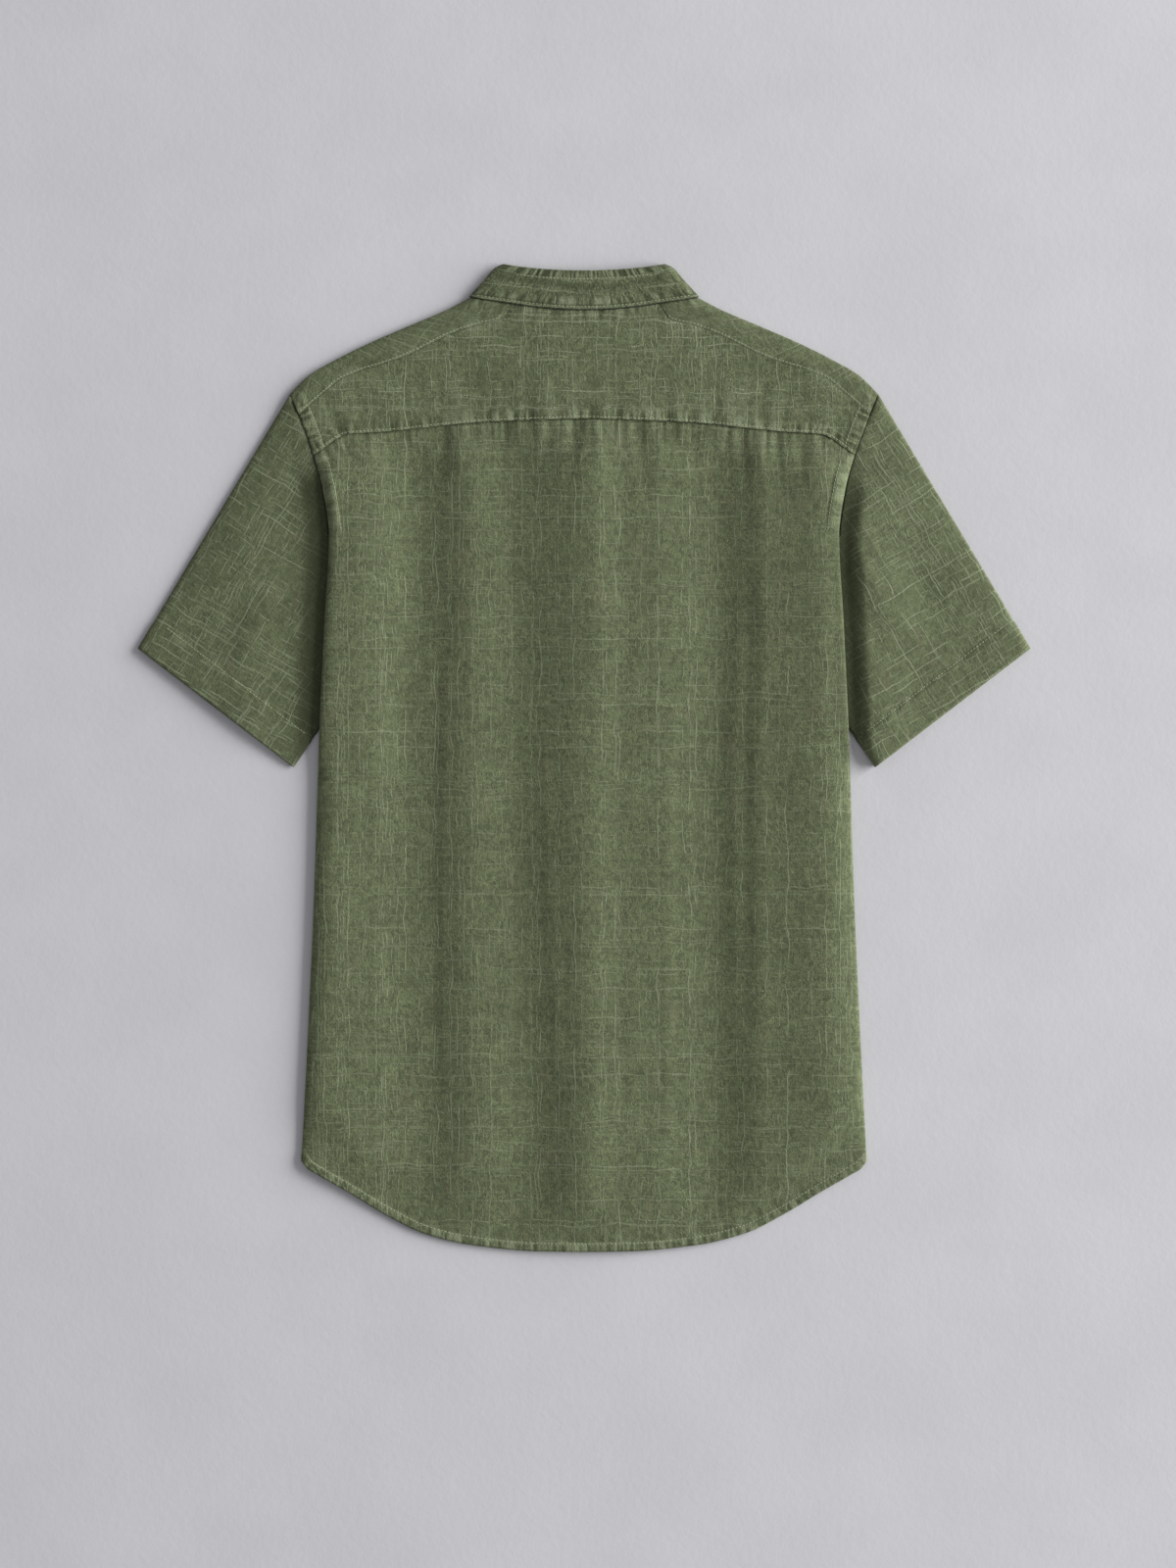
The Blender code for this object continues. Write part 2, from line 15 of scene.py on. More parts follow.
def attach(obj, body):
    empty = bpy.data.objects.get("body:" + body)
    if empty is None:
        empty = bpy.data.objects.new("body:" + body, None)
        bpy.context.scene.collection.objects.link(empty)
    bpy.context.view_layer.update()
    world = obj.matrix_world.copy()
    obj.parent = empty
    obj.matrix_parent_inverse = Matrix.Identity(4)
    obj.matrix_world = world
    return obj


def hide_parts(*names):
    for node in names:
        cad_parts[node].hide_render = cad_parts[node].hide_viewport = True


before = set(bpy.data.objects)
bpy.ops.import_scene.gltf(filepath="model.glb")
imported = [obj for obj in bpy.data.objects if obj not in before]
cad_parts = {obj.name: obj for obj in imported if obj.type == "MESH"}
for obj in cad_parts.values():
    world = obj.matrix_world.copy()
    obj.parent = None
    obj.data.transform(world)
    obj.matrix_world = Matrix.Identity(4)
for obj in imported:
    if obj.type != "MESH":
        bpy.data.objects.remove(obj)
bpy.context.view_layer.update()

MM = 0.001

# ---- Camera ---------------------------------------------------------------------------------
# It looks straight down on the garment, with its middle a little above the picture's.
VIEW_HEIGHT_MM = 1268.8         # what the picture shows from its bottom to its top
VIEW_CENTRE_MM = (3.2, -21.1)
CAMERA_HEIGHT_MM = 3000.0



def new_object(name, data):
    """An object with the given data, put in the scene."""
    made = bpy.data.objects.new(name, data)
    bpy.context.scene.collection.objects.link(made)
    return made


camera_data = bpy.data.cameras.new("camera")
camera_data.sensor_fit = "VERTICAL"
camera_data.sensor_height = 24.0
camera_data.lens = camera_data.sensor_height * CAMERA_HEIGHT_MM / VIEW_HEIGHT_MM
camera = new_object("camera", camera_data)
camera.location = Vector((*VIEW_CENTRE_MM, CAMERA_HEIGHT_MM)) * MM
bpy.context.scene.camera = camera
bpy.context.scene.view_settings.view_transform = "Standard"

# ---- Floor and light ------------------------------------------------------------------------
# A pale grey plastered board, faintly mottled. A low wide window of light stands to the upper
# right, so folds shade to their left, and an even sky fills the shadows.
FLOOR_SIZE = 9.0
FLOOR_COLOUR = (0.521, 0.525, 0.562)
SKY_COLOUR = (0.985, 0.975, 0.98)
SKY_STRENGTH = 0.40
WINDOW_COLOUR = (1.0, 0.985, 0.95)
WINDOW_POWER = 2160.0
WINDOW_DISTANCE = 9.0
WINDOW_SIZE = (8.0, 5.4)
WINDOW_TURN = 11.0              # degrees from +X towards +Y
WINDOW_RISE = 17.0              # degrees above the floor


def feed(tree, node, feeds):
    """Give a node's sockets numbers, colours or other nodes' outputs."""
    for socket, value in feeds.items():
        if isinstance(value, bpy.types.NodeSocket):
            tree.links.new(value, node.inputs[socket])
        else:
            node.inputs[socket].default_value = value


def add_node(tree, kind, feeds=None, **settings):
    """A fed shader node, by its first output."""
    node = tree.nodes.new("ShaderNode" + kind)
    for name, value in settings.items():
        setattr(node, name, value)
    feed(tree, node, feeds or {})
    return node.outputs[0]


def noise(tree, place, scale, detail=2.0, distortion=0.0, roughness=0.5, flat="2D"):
    return add_node(tree, "TexNoise", {"Vector": place, "Scale": scale, "Detail": detail,
                                       "Distortion": distortion, "Roughness": roughness},
                    noise_dimensions=flat)


def rise(tree, value, low, high, bottom=0.0, top=1.0):
    """Value taken smoothly from bottom, at low, to top, at high."""
    return add_node(tree, "MapRange", {"Value": value, "From Min": low, "From Max": high,
                                       "To Min": bottom, "To Max": top},
                    interpolation_type="SMOOTHSTEP")


def maths(tree, operation, a, b=0.0, c=0.0):
    return add_node(tree, "Math", {0: a, 1: b, 2: c}, operation=operation)


def scaled(tree, vector, by):
    return add_node(tree, "VectorMath", {0: vector, "Scale": by}, operation="SCALE")


def new_material(name):
    material = bpy.data.materials.new(name)
    material.use_nodes = True
    return material, material.node_tree, material.node_tree.nodes["Principled BSDF"]


def finished_mesh(name, bm):
    mesh = bpy.data.meshes.new(name)
    bm.to_mesh(mesh)
    bm.free()
    return mesh


plaster, tree, shader = new_material("pale_plaster")
floor_place = add_node(tree, "TexCoord").node.outputs["Object"]
blotch = noise(tree, floor_place, 9.0, 5.0, 0.0, 0.62, "3D")
tone = rise(tree, blotch, 0.3, 0.7, 0.975, 1.025)
grit = noise(tree, floor_place, 160.0, 4.0, 0.0, 0.6, "3D")
bump = add_node(tree, "Bump", {"Height": grit, "Strength": 0.14, "Distance": MM})
feed(tree, shader, {"Base Color": scaled(tree, FLOOR_COLOUR, tone), "Roughness": 0.95,
                    "Specular IOR Level": 0.1, "Normal": bump})

bm = bmesh.new()
bmesh.ops.create_grid(bm, x_segments=1, y_segments=1, size=FLOOR_SIZE / 2)
floor_mesh = finished_mesh("floor", bm)
floor_mesh.materials.append(plaster)
floor = new_object("floor", floor_mesh)

sky = bpy.data.worlds.new("sky")
sky.use_nodes = True
sky_light = sky.node_tree.nodes["Background"]
sky_light.inputs["Color"].default_value = (*SKY_COLOUR, 1)
sky_light.inputs["Strength"].default_value = SKY_STRENGTH
bpy.context.scene.world = sky

window_light = bpy.data.lights.new("window", "AREA")
window_light.shape = "RECTANGLE"
window_light.size, window_light.size_y = WINDOW_SIZE
window_light.energy = WINDOW_POWER
window_light.color = WINDOW_COLOUR
window = new_object("window", window_light)
turn, up = radians(WINDOW_TURN), radians(WINDOW_RISE)
towards = Vector((np.cos(turn) * np.cos(up), np.sin(turn) * np.cos(up), np.sin(up)))
window.location = towards * WINDOW_DISTANCE
window.rotation_euler = towards.to_track_quat("Z", "Y").to_euler()
window.visible_camera = False

# ---- Back panel -----------------------------------------------------------------------------
# The back is one cut of olive slub linen, from the yoke seam to the curved shirt-tail hem. Its
# sides fold round and under to the side seams, it is eased into the yoke with small gathers,
# and its hem is turned twice and stitched.
CLOTH = 0.9
SEAM_GAP = 0.3
LAYER_GAP = 0.4
BUTTON_THICKNESS = 2.1
ORIGIN = np.array([0.0, -0.16, -0.35])      # the floor lies a stitch's height below the cloth
FLOOR_LAYER = CLOTH / 2
SLEEVE_UPPER_UNDER_BODY = FLOOR_LAYER + CLOTH + 2 * LAYER_GAP
TUCK_OVER_SLEEVE = SLEEVE_UPPER_UNDER_BODY + CLOTH + 1.5 * LAYER_GAP
LEFT_FRONT_RISE = BUTTON_THICKNESS + LAYER_GAP
RIGHT_FRONT_RISE = LEFT_FRONT_RISE + CLOTH + LAYER_GAP
HEM_DEPTH = 6.6
SEAM_Y, SIDE_HEM_Y, UNDERARM_Y, ARMPIT_Y = 245.0, -326.0, 180.0, 82.0
MIRROR = np.array([-1, 1, 1])

BODY_EDGE = [  # y, half_width
    (-326, 228.5), (-259, 225.0), (-117, 218.5), (17, 214.0), (108, 209.7), (180, 206.0),
    (216, 210.7), (245, 218.5), (265, 225.4), (280, 231.5), (294, 237.5),
]
BACK_HEM = [  # x, y
    (0, -399.5), (38, -399), (91, -394), (130, -384.6), (160, -370), (191.5, -351),
    (215.7, -337), (224, -332), (228.5, -326),
]
YOKE_SEAM = [  # x, y
    (0, 273.8), (82, 270.8), (162, 263), (192, 261), (201, 257), (211, 249.5), (218.5, 245),
]
SIDE_TUCK = [  # y, how far the back is folded under
    (-326, 7), (-259, 12), (-117, 22), (-10, 31), (82, 37.5), (122, 22), (162, 8), (180, 3.4),
]
SIDE_CROWN = [  # y, height of the top layer near the side
    (-326, 4.4), (-259, 5.0), (-110, 5.2), (-25, 5.8), (0, 7.4), (20, 8.4), (42, 8.6),
    (122, 8.6), (162, 8.5), (180, 8.3), (196, 7.9), (212, 7.3), (228, 6.4), (245, 5.6),
    (280, 5.0),
]
ARMHOLE_HEIGHT = [  # y, height of the top layer at the armhole seam
    (180, 5.6), (196, 4.2), (212, 3.4), (228, 3.4), (245, 3.9), (262, 4.3), (280, 4.3),
]
BACK_WAVES = [  # crests and troughs: x at the yoke, x at the hem, height at each
    (-206, -212, 7.2, 6.2), (-134, -132, 2.3, 2.8), (-92, -90, 5.3, 5.1), (-60, -48, 3.8, 3.5),
    (6, 0, 7.8, 7.3), (36, 32, 5.6, 5.6), (54, 50, 5.3, 5.2), (108, 101, 2.5, 2.7),
    (150, 146, 6.3, 6.0), (190, 196, 8.0, 7.3), (214, 216, 6.6, 6.3),
]
BACK_LEVEL, WAVE_GAIN = 4.4, 1.45
SHORT_FOLDS = [  # x at top, x at bottom, half width, height, top y, bottom y
    (-118, -124, 9, -0.3, 120, -300), (72, 64, 9, 0.3, 60, -350), (134, 130, 10, -0.3, 180, -260),
    (-166, -172, 13, 0.2, 90, -240), (120, 124, 11, 0.2, 150, -190), (-30, -22, 9, 0.25, 40, -280),
]
YOKE_GATHERS = [  # x, half width, height, length below the seam
    (-171, 7, 0.5, 46), (-152, 8, -0.6, 58), (-111, 9, -1.0, 74), (-97, 6, 0.6, 60),
    (-64, 8, -0.6, 52), (-34, 7, 0.5, 44), (-6, 9, -0.9, 84), (10, 6, 0.7, 66),
    (43, 8, -0.9, 70), (58, 6, 0.5, 48), (86, 7, -0.5, 50), (108, 6, 0.5, 42),
    (127, 8, -1.0, 80), (141, 6, 0.7, 60), (155, 6, -0.8, 64), (174, 7, -0.8, 70),
    (186, 5, 0.4, 40), (-190, 6, -0.5, 44),
]
SHOULDER_HEIGHT = 4.9
YOKE_RISE = 1.1
HEM_SLOPE = 60.0
SIDE_ROUNDING = 20.0
SIDE_ROUNDINGS = [  # y, how far in from the side the top layer is rounded
    (-326, 15), (-120, 16), (-30, 15), (20, 9), (190, 8), (235, 10), (262, 16), (290, 20),
]
NECK_HALF = 60.0
PITCH = 1.3                     # usual spacing of the cloth's columns
ARMHOLE_BAND = 9.5              # seam allowance stitched down inside each armhole
SIDE_BAND = 38.0                # closely spaced columns beside a rounded side
BUTTONED_FLAT = 17.0            # half width of the low rise over the buttons
BUTTONED_SLOPE = 45.0
YOKE_SLOPE = 34.0               # the back's waves die out over this length below the yoke

LINEN = (0.0920, 0.1115, 0.0575)
LINEN_SLUB = (0.222, 0.254, 0.166)
LINEN_SHADE = (0.030, 0.038, 0.016)
LINEN_WARM = (0.165, 0.140, 0.090)
SLUB_THREADS = [  # warp and weft by turns: spacing, width, length, share thickened, seed, strength
    (5.2, 1.4, 40.0, 0.60, 11.0, 1.0), (5.6, 1.5, 40.0, 0.70, 47.0, 1.0),
    (3.1, 1.3, 12.0, 0.62, 23.0, 0.8), (3.3, 1.3, 10.0, 0.58, 61.0, 0.8),
]
FINE_THREADS = [(0.95, 0.95, 12.0, 0.8, 5.0, 1.0), (0.95, 0.95, 9.0, 0.7, 83.0, 1.0)]
WEAVE_TURN = 10.5               # radians of the weave's wave in a millimetre


def curve(table, at, column=1):
    """Smooth value of a table's column at values of its first column."""
    rows = sorted(table)
    key = np.array([row[0] for row in rows], float)
    value = np.array([row[column] for row in rows], float)
    slope = np.diff(value) / np.diff(key)
    before, after = slope[:-1], slope[1:]
    same_way = before * after > 0
    inner = np.where(same_way, 2 * before * after / np.where(same_way, before + after, 1), 0)
    tangent = np.concatenate([slope[:1], inner, slope[-1:]])
    at = np.clip(np.asarray(at, float), key[0], key[-1])
    i = np.clip(np.searchsorted(key, at, side="right") - 1, 0, len(slope) - 1)
    span = key[i + 1] - key[i]
    t = (at - key[i]) / span
    return (value[i] * (1 + 2 * t) * (1 - t) ** 2 + value[i + 1] * t * t * (3 - 2 * t)
            + span * (tangent[i] * t * (1 - t) ** 2 - tangent[i + 1] * t * t * (1 - t)))


def ease(t):
    """0 below 0, 1 above 1, smooth between."""
    t = np.clip(t, 0, 1)
    return t * t * (3 - 2 * t)


def quarter(t):
    """Height of a rounded edge, 0 at the edge and 1 from t = 1 inwards."""
    return np.sqrt(1 - (1 - np.clip(t, 0, 1)) ** 2)


def mix(a, b, t):
    return a + (b - a) * t


def hump(offset, half):
    """A soft ridge of height 1 and the given half width."""
    return np.cos(np.clip(np.abs(offset) / half, 0, 1) * np.pi / 2) ** 2


def uneven(at, pitch, seed):
    """Smooth irregular wave between -1 and 1 that swings about once every pitch."""
    knots = np.random.default_rng(seed).uniform(-1, 1, 4096)
    cell = np.floor(at / pitch)
    t = ease(at / pitch - cell)
    cell = cell.astype(int)
    return mix(knots[cell % 4096], knots[(cell + 1) % 4096], t)


def run_along(line):
    """Distance of each of a line's points from its start, along it."""
    return np.concatenate([[0], np.cumsum(np.linalg.norm(np.diff(line, axis=0), axis=1))])


def unit(vectors):
    return vectors / np.maximum(np.linalg.norm(vectors, axis=-1, keepdims=True), 1e-9)


def beside_line(points, line):
    """Distance of points from a line drawn on the floor, and how far along it they lie."""
    line = np.asarray(line, float)[:, :2]
    flat = points[..., :2]
    nearest = np.full(flat.shape[:-1], 1e9)
    along = np.zeros(flat.shape[:-1])
    start = 0.0
    for a, b in zip(line, line[1:]):
        run = b - a
        length = np.hypot(*run)
        t = np.clip(((flat - a) @ run) / length ** 2, 0, 1)
        away = np.linalg.norm(flat - a - t[..., None] * run, axis=-1)
        closer = away < nearest
        nearest = np.where(closer, away, nearest)
        along = np.where(closer, start + t * length, along)
        start += length
    return nearest, along


def spaced(start, stop, fine, coarse, band):
    """Values from start to stop, fine within a band of each end and coarse between."""
    way = 1 if stop > start else -1
    values = [start]
    while (stop - values[-1]) * way > 1e-6:
        from_end = min(abs(values[-1] - start), abs(stop - values[-1]))
        values.append(values[-1] + way * mix(fine, coarse, float(ease((from_end - band) / 45))))
    values = np.array(values)
    return start + (values - start) * (stop - start) / (values[-1] - start)


def hem_y(x):
    return curve(BACK_HEM, np.abs(x))


def side_x(y):
    return curve(BODY_EDGE, y) - CLOTH / 2


def front_middle(outward, y, rise_at_buttons):
    """Height of a front, by the distance from the centre line towards its own side."""
    low = max(rise_at_buttons - LEFT_FRONT_RISE, 0.0)
    lift = mix(low, rise_at_buttons, ease((y + 345) / 55))
    return FLOOR_LAYER + lift * (1 - ease((outward - BUTTONED_FLAT) / BUTTONED_SLOPE))


def front_top(x, y):
    return front_middle(np.abs(x), y, RIGHT_FRONT_RISE) + CLOTH / 2


def wave_height(x, y):
    """Middle of the upper layer of the back, away from its sides, in long soft waves."""
    x, y = np.broadcast_arrays(x, y)
    down = np.clip((236 - y) / (236 + 330), 0, 1)
    x = x + 3.0 * uneven(y, 95, 31) * (1 - (x / 230) ** 2)
    total = None
    for left, right in zip(BACK_WAVES, BACK_WAVES[1:]):
        start, end = mix(left[0], left[1], down), mix(right[0], right[1], down)
        low, high = mix(left[2], left[3], down), mix(right[2], right[3], down)
        total = low if total is None else total
        total = total + (high - low) * ease((x - start) / (end - start))
    total = mix(BACK_LEVEL, total, WAVE_GAIN)
    for top_x, bottom_x, half, height, top, bottom in SHORT_FOLDS:
        middle = mix(top_x, bottom_x, (top - y) / (top - bottom))
        window = ease((top - y) / 70) * ease((y - bottom) / 60)
        total = total + WAVE_GAIN * height * window * hump(x - middle, half)
    return total


def shoulder_rise(x):
    """Middle of the upper layer across the shoulders, a little higher at the centre."""
    return SHOULDER_HEIGHT + YOKE_RISE * (1 - ease(np.abs(x) / 130))


def tuck_height(x, y):
    """Middle of the back's folded-under side, which rises over the sleeve beneath it."""
    sleeve_edge_y = mix(82, -7.5, (x - 171) / (235.5 - 171))
    return mix(FLOOR_LAYER, TUCK_OVER_SLEEVE, ease((y - sleeve_edge_y + 34) / 22))


def side_height(y):
    """Height of the side's outermost line: the armhole seam, or the middle of the fold."""
    folded = (curve(SIDE_CROWN, y) + tuck_height(side_x(y), y)) / 2
    return np.where(y > UNDERARM_Y, curve(ARMHOLE_HEIGHT, y), folded)


def top_height(x, y, edge_y, from_edge):
    """Middle of the top layer, from_edge millimetres inside the side of its row."""
    crown, edge = curve(SIDE_CROWN, edge_y), side_height(edge_y)
    under_yoke = ease((y - curve(YOKE_SEAM, np.abs(x))) / YOKE_SLOPE + 1)
    waves = mix(wave_height(x, y), shoulder_rise(x), under_yoke)
    low = front_top(x, y) + CLOTH / 2 + LAYER_GAP + 0.4
    waves = mix(low, waves, ease((y - hem_y(x)) / HEM_SLOPE))
    height = mix(np.maximum(crown, waves), waves, ease((from_edge - 8) / 66))
    return mix(edge, height, quarter(from_edge / curve(SIDE_ROUNDINGS, edge_y)))


def edge_steps():
    """Distances from a rounded side, from the flat inwards part out to the edge."""
    flat = np.linspace(SIDE_BAND, SIDE_ROUNDING, 11)[:-1]
    return np.concatenate([flat, SIDE_ROUNDING * (1 - np.sin(np.linspace(0, np.pi / 2, 15)))])


NECK_COLUMNS = int(NECK_HALF / PITCH)
INNER_COLUMNS = 80


def half_columns(width, neck):
    """Column positions from the centre to a side, one row for each width."""
    width, neck = np.asarray(width)[:, None], np.asarray(neck)[:, None]
    inner = neck * np.arange(NECK_COLUMNS) / NECK_COLUMNS
    middle = mix(neck, width - SIDE_BAND, np.arange(INNER_COLUMNS) / INNER_COLUMNS)
    return np.concatenate([inner, middle, width - edge_steps()], axis=1)


def back_half(edge_y):
    """Right half of rows of the back: x, y and the distance from the side, in columns."""
    edge_y = np.atleast_1d(np.asarray(edge_y, float))
    width = side_x(edge_y)
    x = half_columns(width, NECK_HALF * width / side_x(SEAM_Y) * 1.07)
    width = width[:, None]
    down = ((SEAM_Y - edge_y) / (SEAM_Y - SIDE_HEM_Y))[:, None]
    seam = curve(YOKE_SEAM, x * YOKE_SEAM[-1][0] / width) - SEAM_Y
    hem = hem_y(x * BACK_HEM[-1][0] / width) - SIDE_HEM_Y
    y = edge_y[:, None] + seam * (1 - down) ** 6 + hem * down ** 4
    return x, y, width - x


def joined(left, right):
    """Whole rows from the halves of both sides, each given from the centre outwards."""
    return np.concatenate([left[:, :0:-1], right], axis=1)


def both_sides(x, *others):
    """Right half rows of x and other values, mirrored to whole rows."""
    return [joined(-x, x)] + [joined(values, values) for values in others]


def patch(points, cut=None, wear_and_shade=0.0, thick=CLOTH):
    """A grid of one piece: points and place on the cut in mm, wear and painted shade -1 to 1,
    thickness in mm.
    """
    shape = points.shape[:2]
    cut = points[..., :2] if cut is None else cut
    return points, cut, np.broadcast_to(wear_and_shade, shape), np.broadcast_to(thick, shape)


def mirrored(grid):
    points, cut, wear_and_shade, thick = grid
    return points * MIRROR, cut * MIRROR[:2], wear_and_shade, thick


THICKEST = 4.0                  # what a thickness weight of 1 stands for
WELD = 0.03


def sewn_cloth(name, patches, material):
    """One cut piece as a thin closed shell, its patches welded where they share points."""
    bm = bmesh.new()
    wear_and_shade_layer = bm.verts.layers.float.new("wear_and_shade")
    group_layer = bm.verts.layers.deform.verify()
    cut_layer = bm.loops.layers.uv.new("cut")
    for points, cut, wear_and_shade, thick in patches:
        rows, columns = points.shape[:2]
        metres = (points - ORIGIN) * MM
        verts = []
        for place, w, t in zip(metres.reshape(-1, 3), wear_and_shade.ravel(), thick.ravel()):
            vert = bm.verts.new(place)
            vert[wear_and_shade_layer] = w
            vert[group_layer][0] = t / THICKEST
            verts.append(vert)
        flat_cut = cut.reshape(-1, 2)
        for r in range(rows - 1):
            for c in range(columns - 1):
                k = r * columns + c
                corners = (k, k + 1, k + columns + 1, k + columns)
                face = bm.faces.new([verts[i] for i in corners])
                face.smooth = True
                for loop, i in zip(face.loops, corners):
                    loop[cut_layer].uv = flat_cut[i]
    bmesh.ops.remove_doubles(bm, verts=bm.verts, dist=WELD * MM)
    bmesh.ops.recalc_face_normals(bm, faces=bm.faces)
    mesh = finished_mesh(name, bm)
    mesh.materials.append(material)
    piece = new_object(name, mesh)
    piece.vertex_groups.new(name="thickness")
    shell = piece.modifiers.new("cloth thickness", "SOLIDIFY")
    shell.thickness = THICKEST * MM
    shell.vertex_group = "thickness"
    shell.offset = 0
    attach(piece, "root")
    return piece


def threads(tree, across, along, pitch, width, length, share, seed):
    """Mask of the pale thick places in one direction's threads, at an uneven spacing."""
    number = maths(tree, "FLOOR", maths(tree, "DIVIDE", across, pitch))
    within = maths(tree, "SUBTRACT", maths(tree, "DIVIDE", across, pitch), number)
    chance = add_node(tree, "TexWhiteNoise", {"W": maths(tree, "ADD", number, seed)},
                      noise_dimensions="1D")
    drawn = add_node(tree, "SeparateColor", {0: chance.node.outputs["Color"]}).node.outputs
    middle = maths(tree, "MULTIPLY_ADD", maths(tree, "SUBTRACT", drawn["Red"], 0.5),
                   0.9 * (1 - width / pitch), 0.5)
    aside = maths(tree, "ABSOLUTE", maths(tree, "SUBTRACT", within, middle))
    round_off = rise(tree, maths(tree, "MULTIPLY", aside, pitch), width / 2, width / 8)
    chosen = rise(tree, drawn["Green"], 1.0 - share, 1.0 - share * 0.4)
    place = add_node(tree, "CombineXYZ", {"X": maths(tree, "MULTIPLY", number, 3.7),
                                          "Y": maths(tree, "DIVIDE", along, length), "Z": seed})
    thick = rise(tree, noise(tree, place, 1.0, 2.0, 0.0, 0.6), 0.42, 0.62)
    return maths(tree, "MULTIPLY", maths(tree, "MULTIPLY", round_off, thick), chosen)


def over(tree, below, above, share):
    """One colour laid over another by a share."""
    return add_node(tree, "Mix", {0: share, 6: below, 7: above}, data_type="RGBA").node.outputs[2]


def make_slub_linen():
    """Shader group: plain weave with pale slubs both ways, crinkled and unevenly dyed, with wear and
    painted shade laid over from one input.
    """
    group = bpy.data.node_groups.new("slub linen", "ShaderNodeTree")
    for name, kind, value in (
            ("Cut", "NodeSocketVector", (0, 0, 0)), ("Wear And Shade", "NodeSocketFloat", 0.0),
            ("Cloth", "NodeSocketColor", (*LINEN, 1)), ("Slub", "NodeSocketColor", (*LINEN_SLUB, 1)),
            ("Shade", "NodeSocketColor", (*LINEN_SHADE, 1)),
            ("Warm", "NodeSocketColor", (*LINEN_WARM, 1)),
            ("Warp Slubs", "NodeSocketFloat", 1.0), ("Weft Slubs", "NodeSocketFloat", 0.5),
            ("Crinkle", "NodeSocketFloat", 1.0)):
        group.interface.new_socket(name, in_out="INPUT", socket_type=kind).default_value = value
    for name, kind in (("Color", "NodeSocketColor"), ("Roughness", "NodeSocketFloat"),
                       ("Height", "NodeSocketFloat")):
        group.interface.new_socket(name, in_out="OUTPUT", socket_type=kind)
    given = group.nodes.new("NodeGroupInput").outputs
    result = group.nodes.new("NodeGroupOutput").inputs

    def chained(operation, *values):
        """Product or highest of several values."""
        result = values[0]
        for value in values[1:]:
            result = maths(group, operation, result, value)
        return result

    def summed(total, *parts):
        for value, share in parts:
            total = maths(group, "MULTIPLY_ADD", value, share, total)
        return total

    def blotches(scale, detail, distortion, roughness, edge):
        """Smooth spots between -1 and 1."""
        spots = noise(group, given["Cut"], scale, detail, distortion, roughness)
        return rise(group, spots, edge, 1 - edge, -1.0, 1.0)

    def slubs(layers):
        """Highest of several layers of thickened threads, warp and weft by turns."""
        masks = []
        for k, (*measures, strength) in enumerate(layers):
            across, along, share = ((u, v, "Warp Slubs"), (v, u, "Weft Slubs"))[k % 2]
            mask = threads(group, across, along, *measures)
            masks.append(chained("MULTIPLY", mask, given[share], strength))
        return chained("MAXIMUM", *masks)

    # the threads wander a little, in long sways and short kinks
    place = given["Cut"]
    for scale, reach in ((0.035, 6.0), (0.22, 0.9)):
        sway = noise(group, given["Cut"], scale, 1.0).node.outputs["Color"]
        aside = add_node(group, "VectorMath", {0: sway, 1: (0.5, 0.5, 0.5)}, operation="SUBTRACT")
        place = add_node(group, "VectorMath", {0: place, 1: scaled(group, aside, reach)},
                         operation="ADD")
    split = add_node(group, "SeparateXYZ", {0: place}).node.outputs
    u, v = split["X"], split["Y"]
    slub, fine = slubs(SLUB_THREADS), slubs(FINE_THREADS)

    # crinkle: worm-like pale creases and darker cells of 2 to 4 mm
    worm = noise(group, given["Cut"], 0.16, 1.6, 2.2, 0.55)
    crease = rise(group, maths(group, "ABSOLUTE", maths(group, "SUBTRACT", worm, 0.5)), 0.065, 0.0)
    patchy = rise(group, noise(group, given["Cut"], 0.018, 2.0), 0.42, 0.62, 0.25, 1.0)
    crease = chained("MULTIPLY", crease, given["Crinkle"], patchy)
    cells = chained("MULTIPLY", blotches(0.26, 3.0, 0.8, 0.6, 0.32), given["Crinkle"])
    mottle, cloudy = blotches(0.10, 2.0, 0.6, 0.5, 0.34), blotches(0.03, 3.0, 0.0, 0.6, 0.32)
    tone = summed(0.93, (cells, 0.17), (cloudy, 0.04), (mottle, 0.08), (crease, 0.38), (fine, 0.14))
    colour = scaled(group, given["Cloth"], tone)

    warm_spots = rise(group, noise(group, given["Cut"], 0.045, 3.0, 0.4), 0.60, 0.74, 0.0, 0.15)
    colour = over(group, colour, given["Warm"], warm_spots)
    # wear and painted shade: where that input is above 0 the pale slub colour is laid over, where it
    # is below 0 the dark shade colour
    for above, value, share in (("Slub", slub, 0.68), ("Slub", given["Wear And Shade"], 0.62),
                                ("Shade", given["Wear And Shade"], -0.75)):
        colour = over(group, colour, given[above], maths(group, "MULTIPLY", value, share))
    group.links.new(colour, result["Color"])
    group.links.new(summed(0.92, (slub, -0.12)), result["Roughness"])

    # height in millimetres
    waves = [maths(group, "SINE", maths(group, "MULTIPLY", way, WEAVE_TURN)) for way in (u, v)]
    weave = chained("MULTIPLY", *waves)
    height = summed(0.0, (slub, 0.16), (weave, 0.020), (fine, 0.07), (crease, 0.10), (cells, 0.08))
    group.links.new(height, result["Height"])
    return group


slub_linen = make_slub_linen()


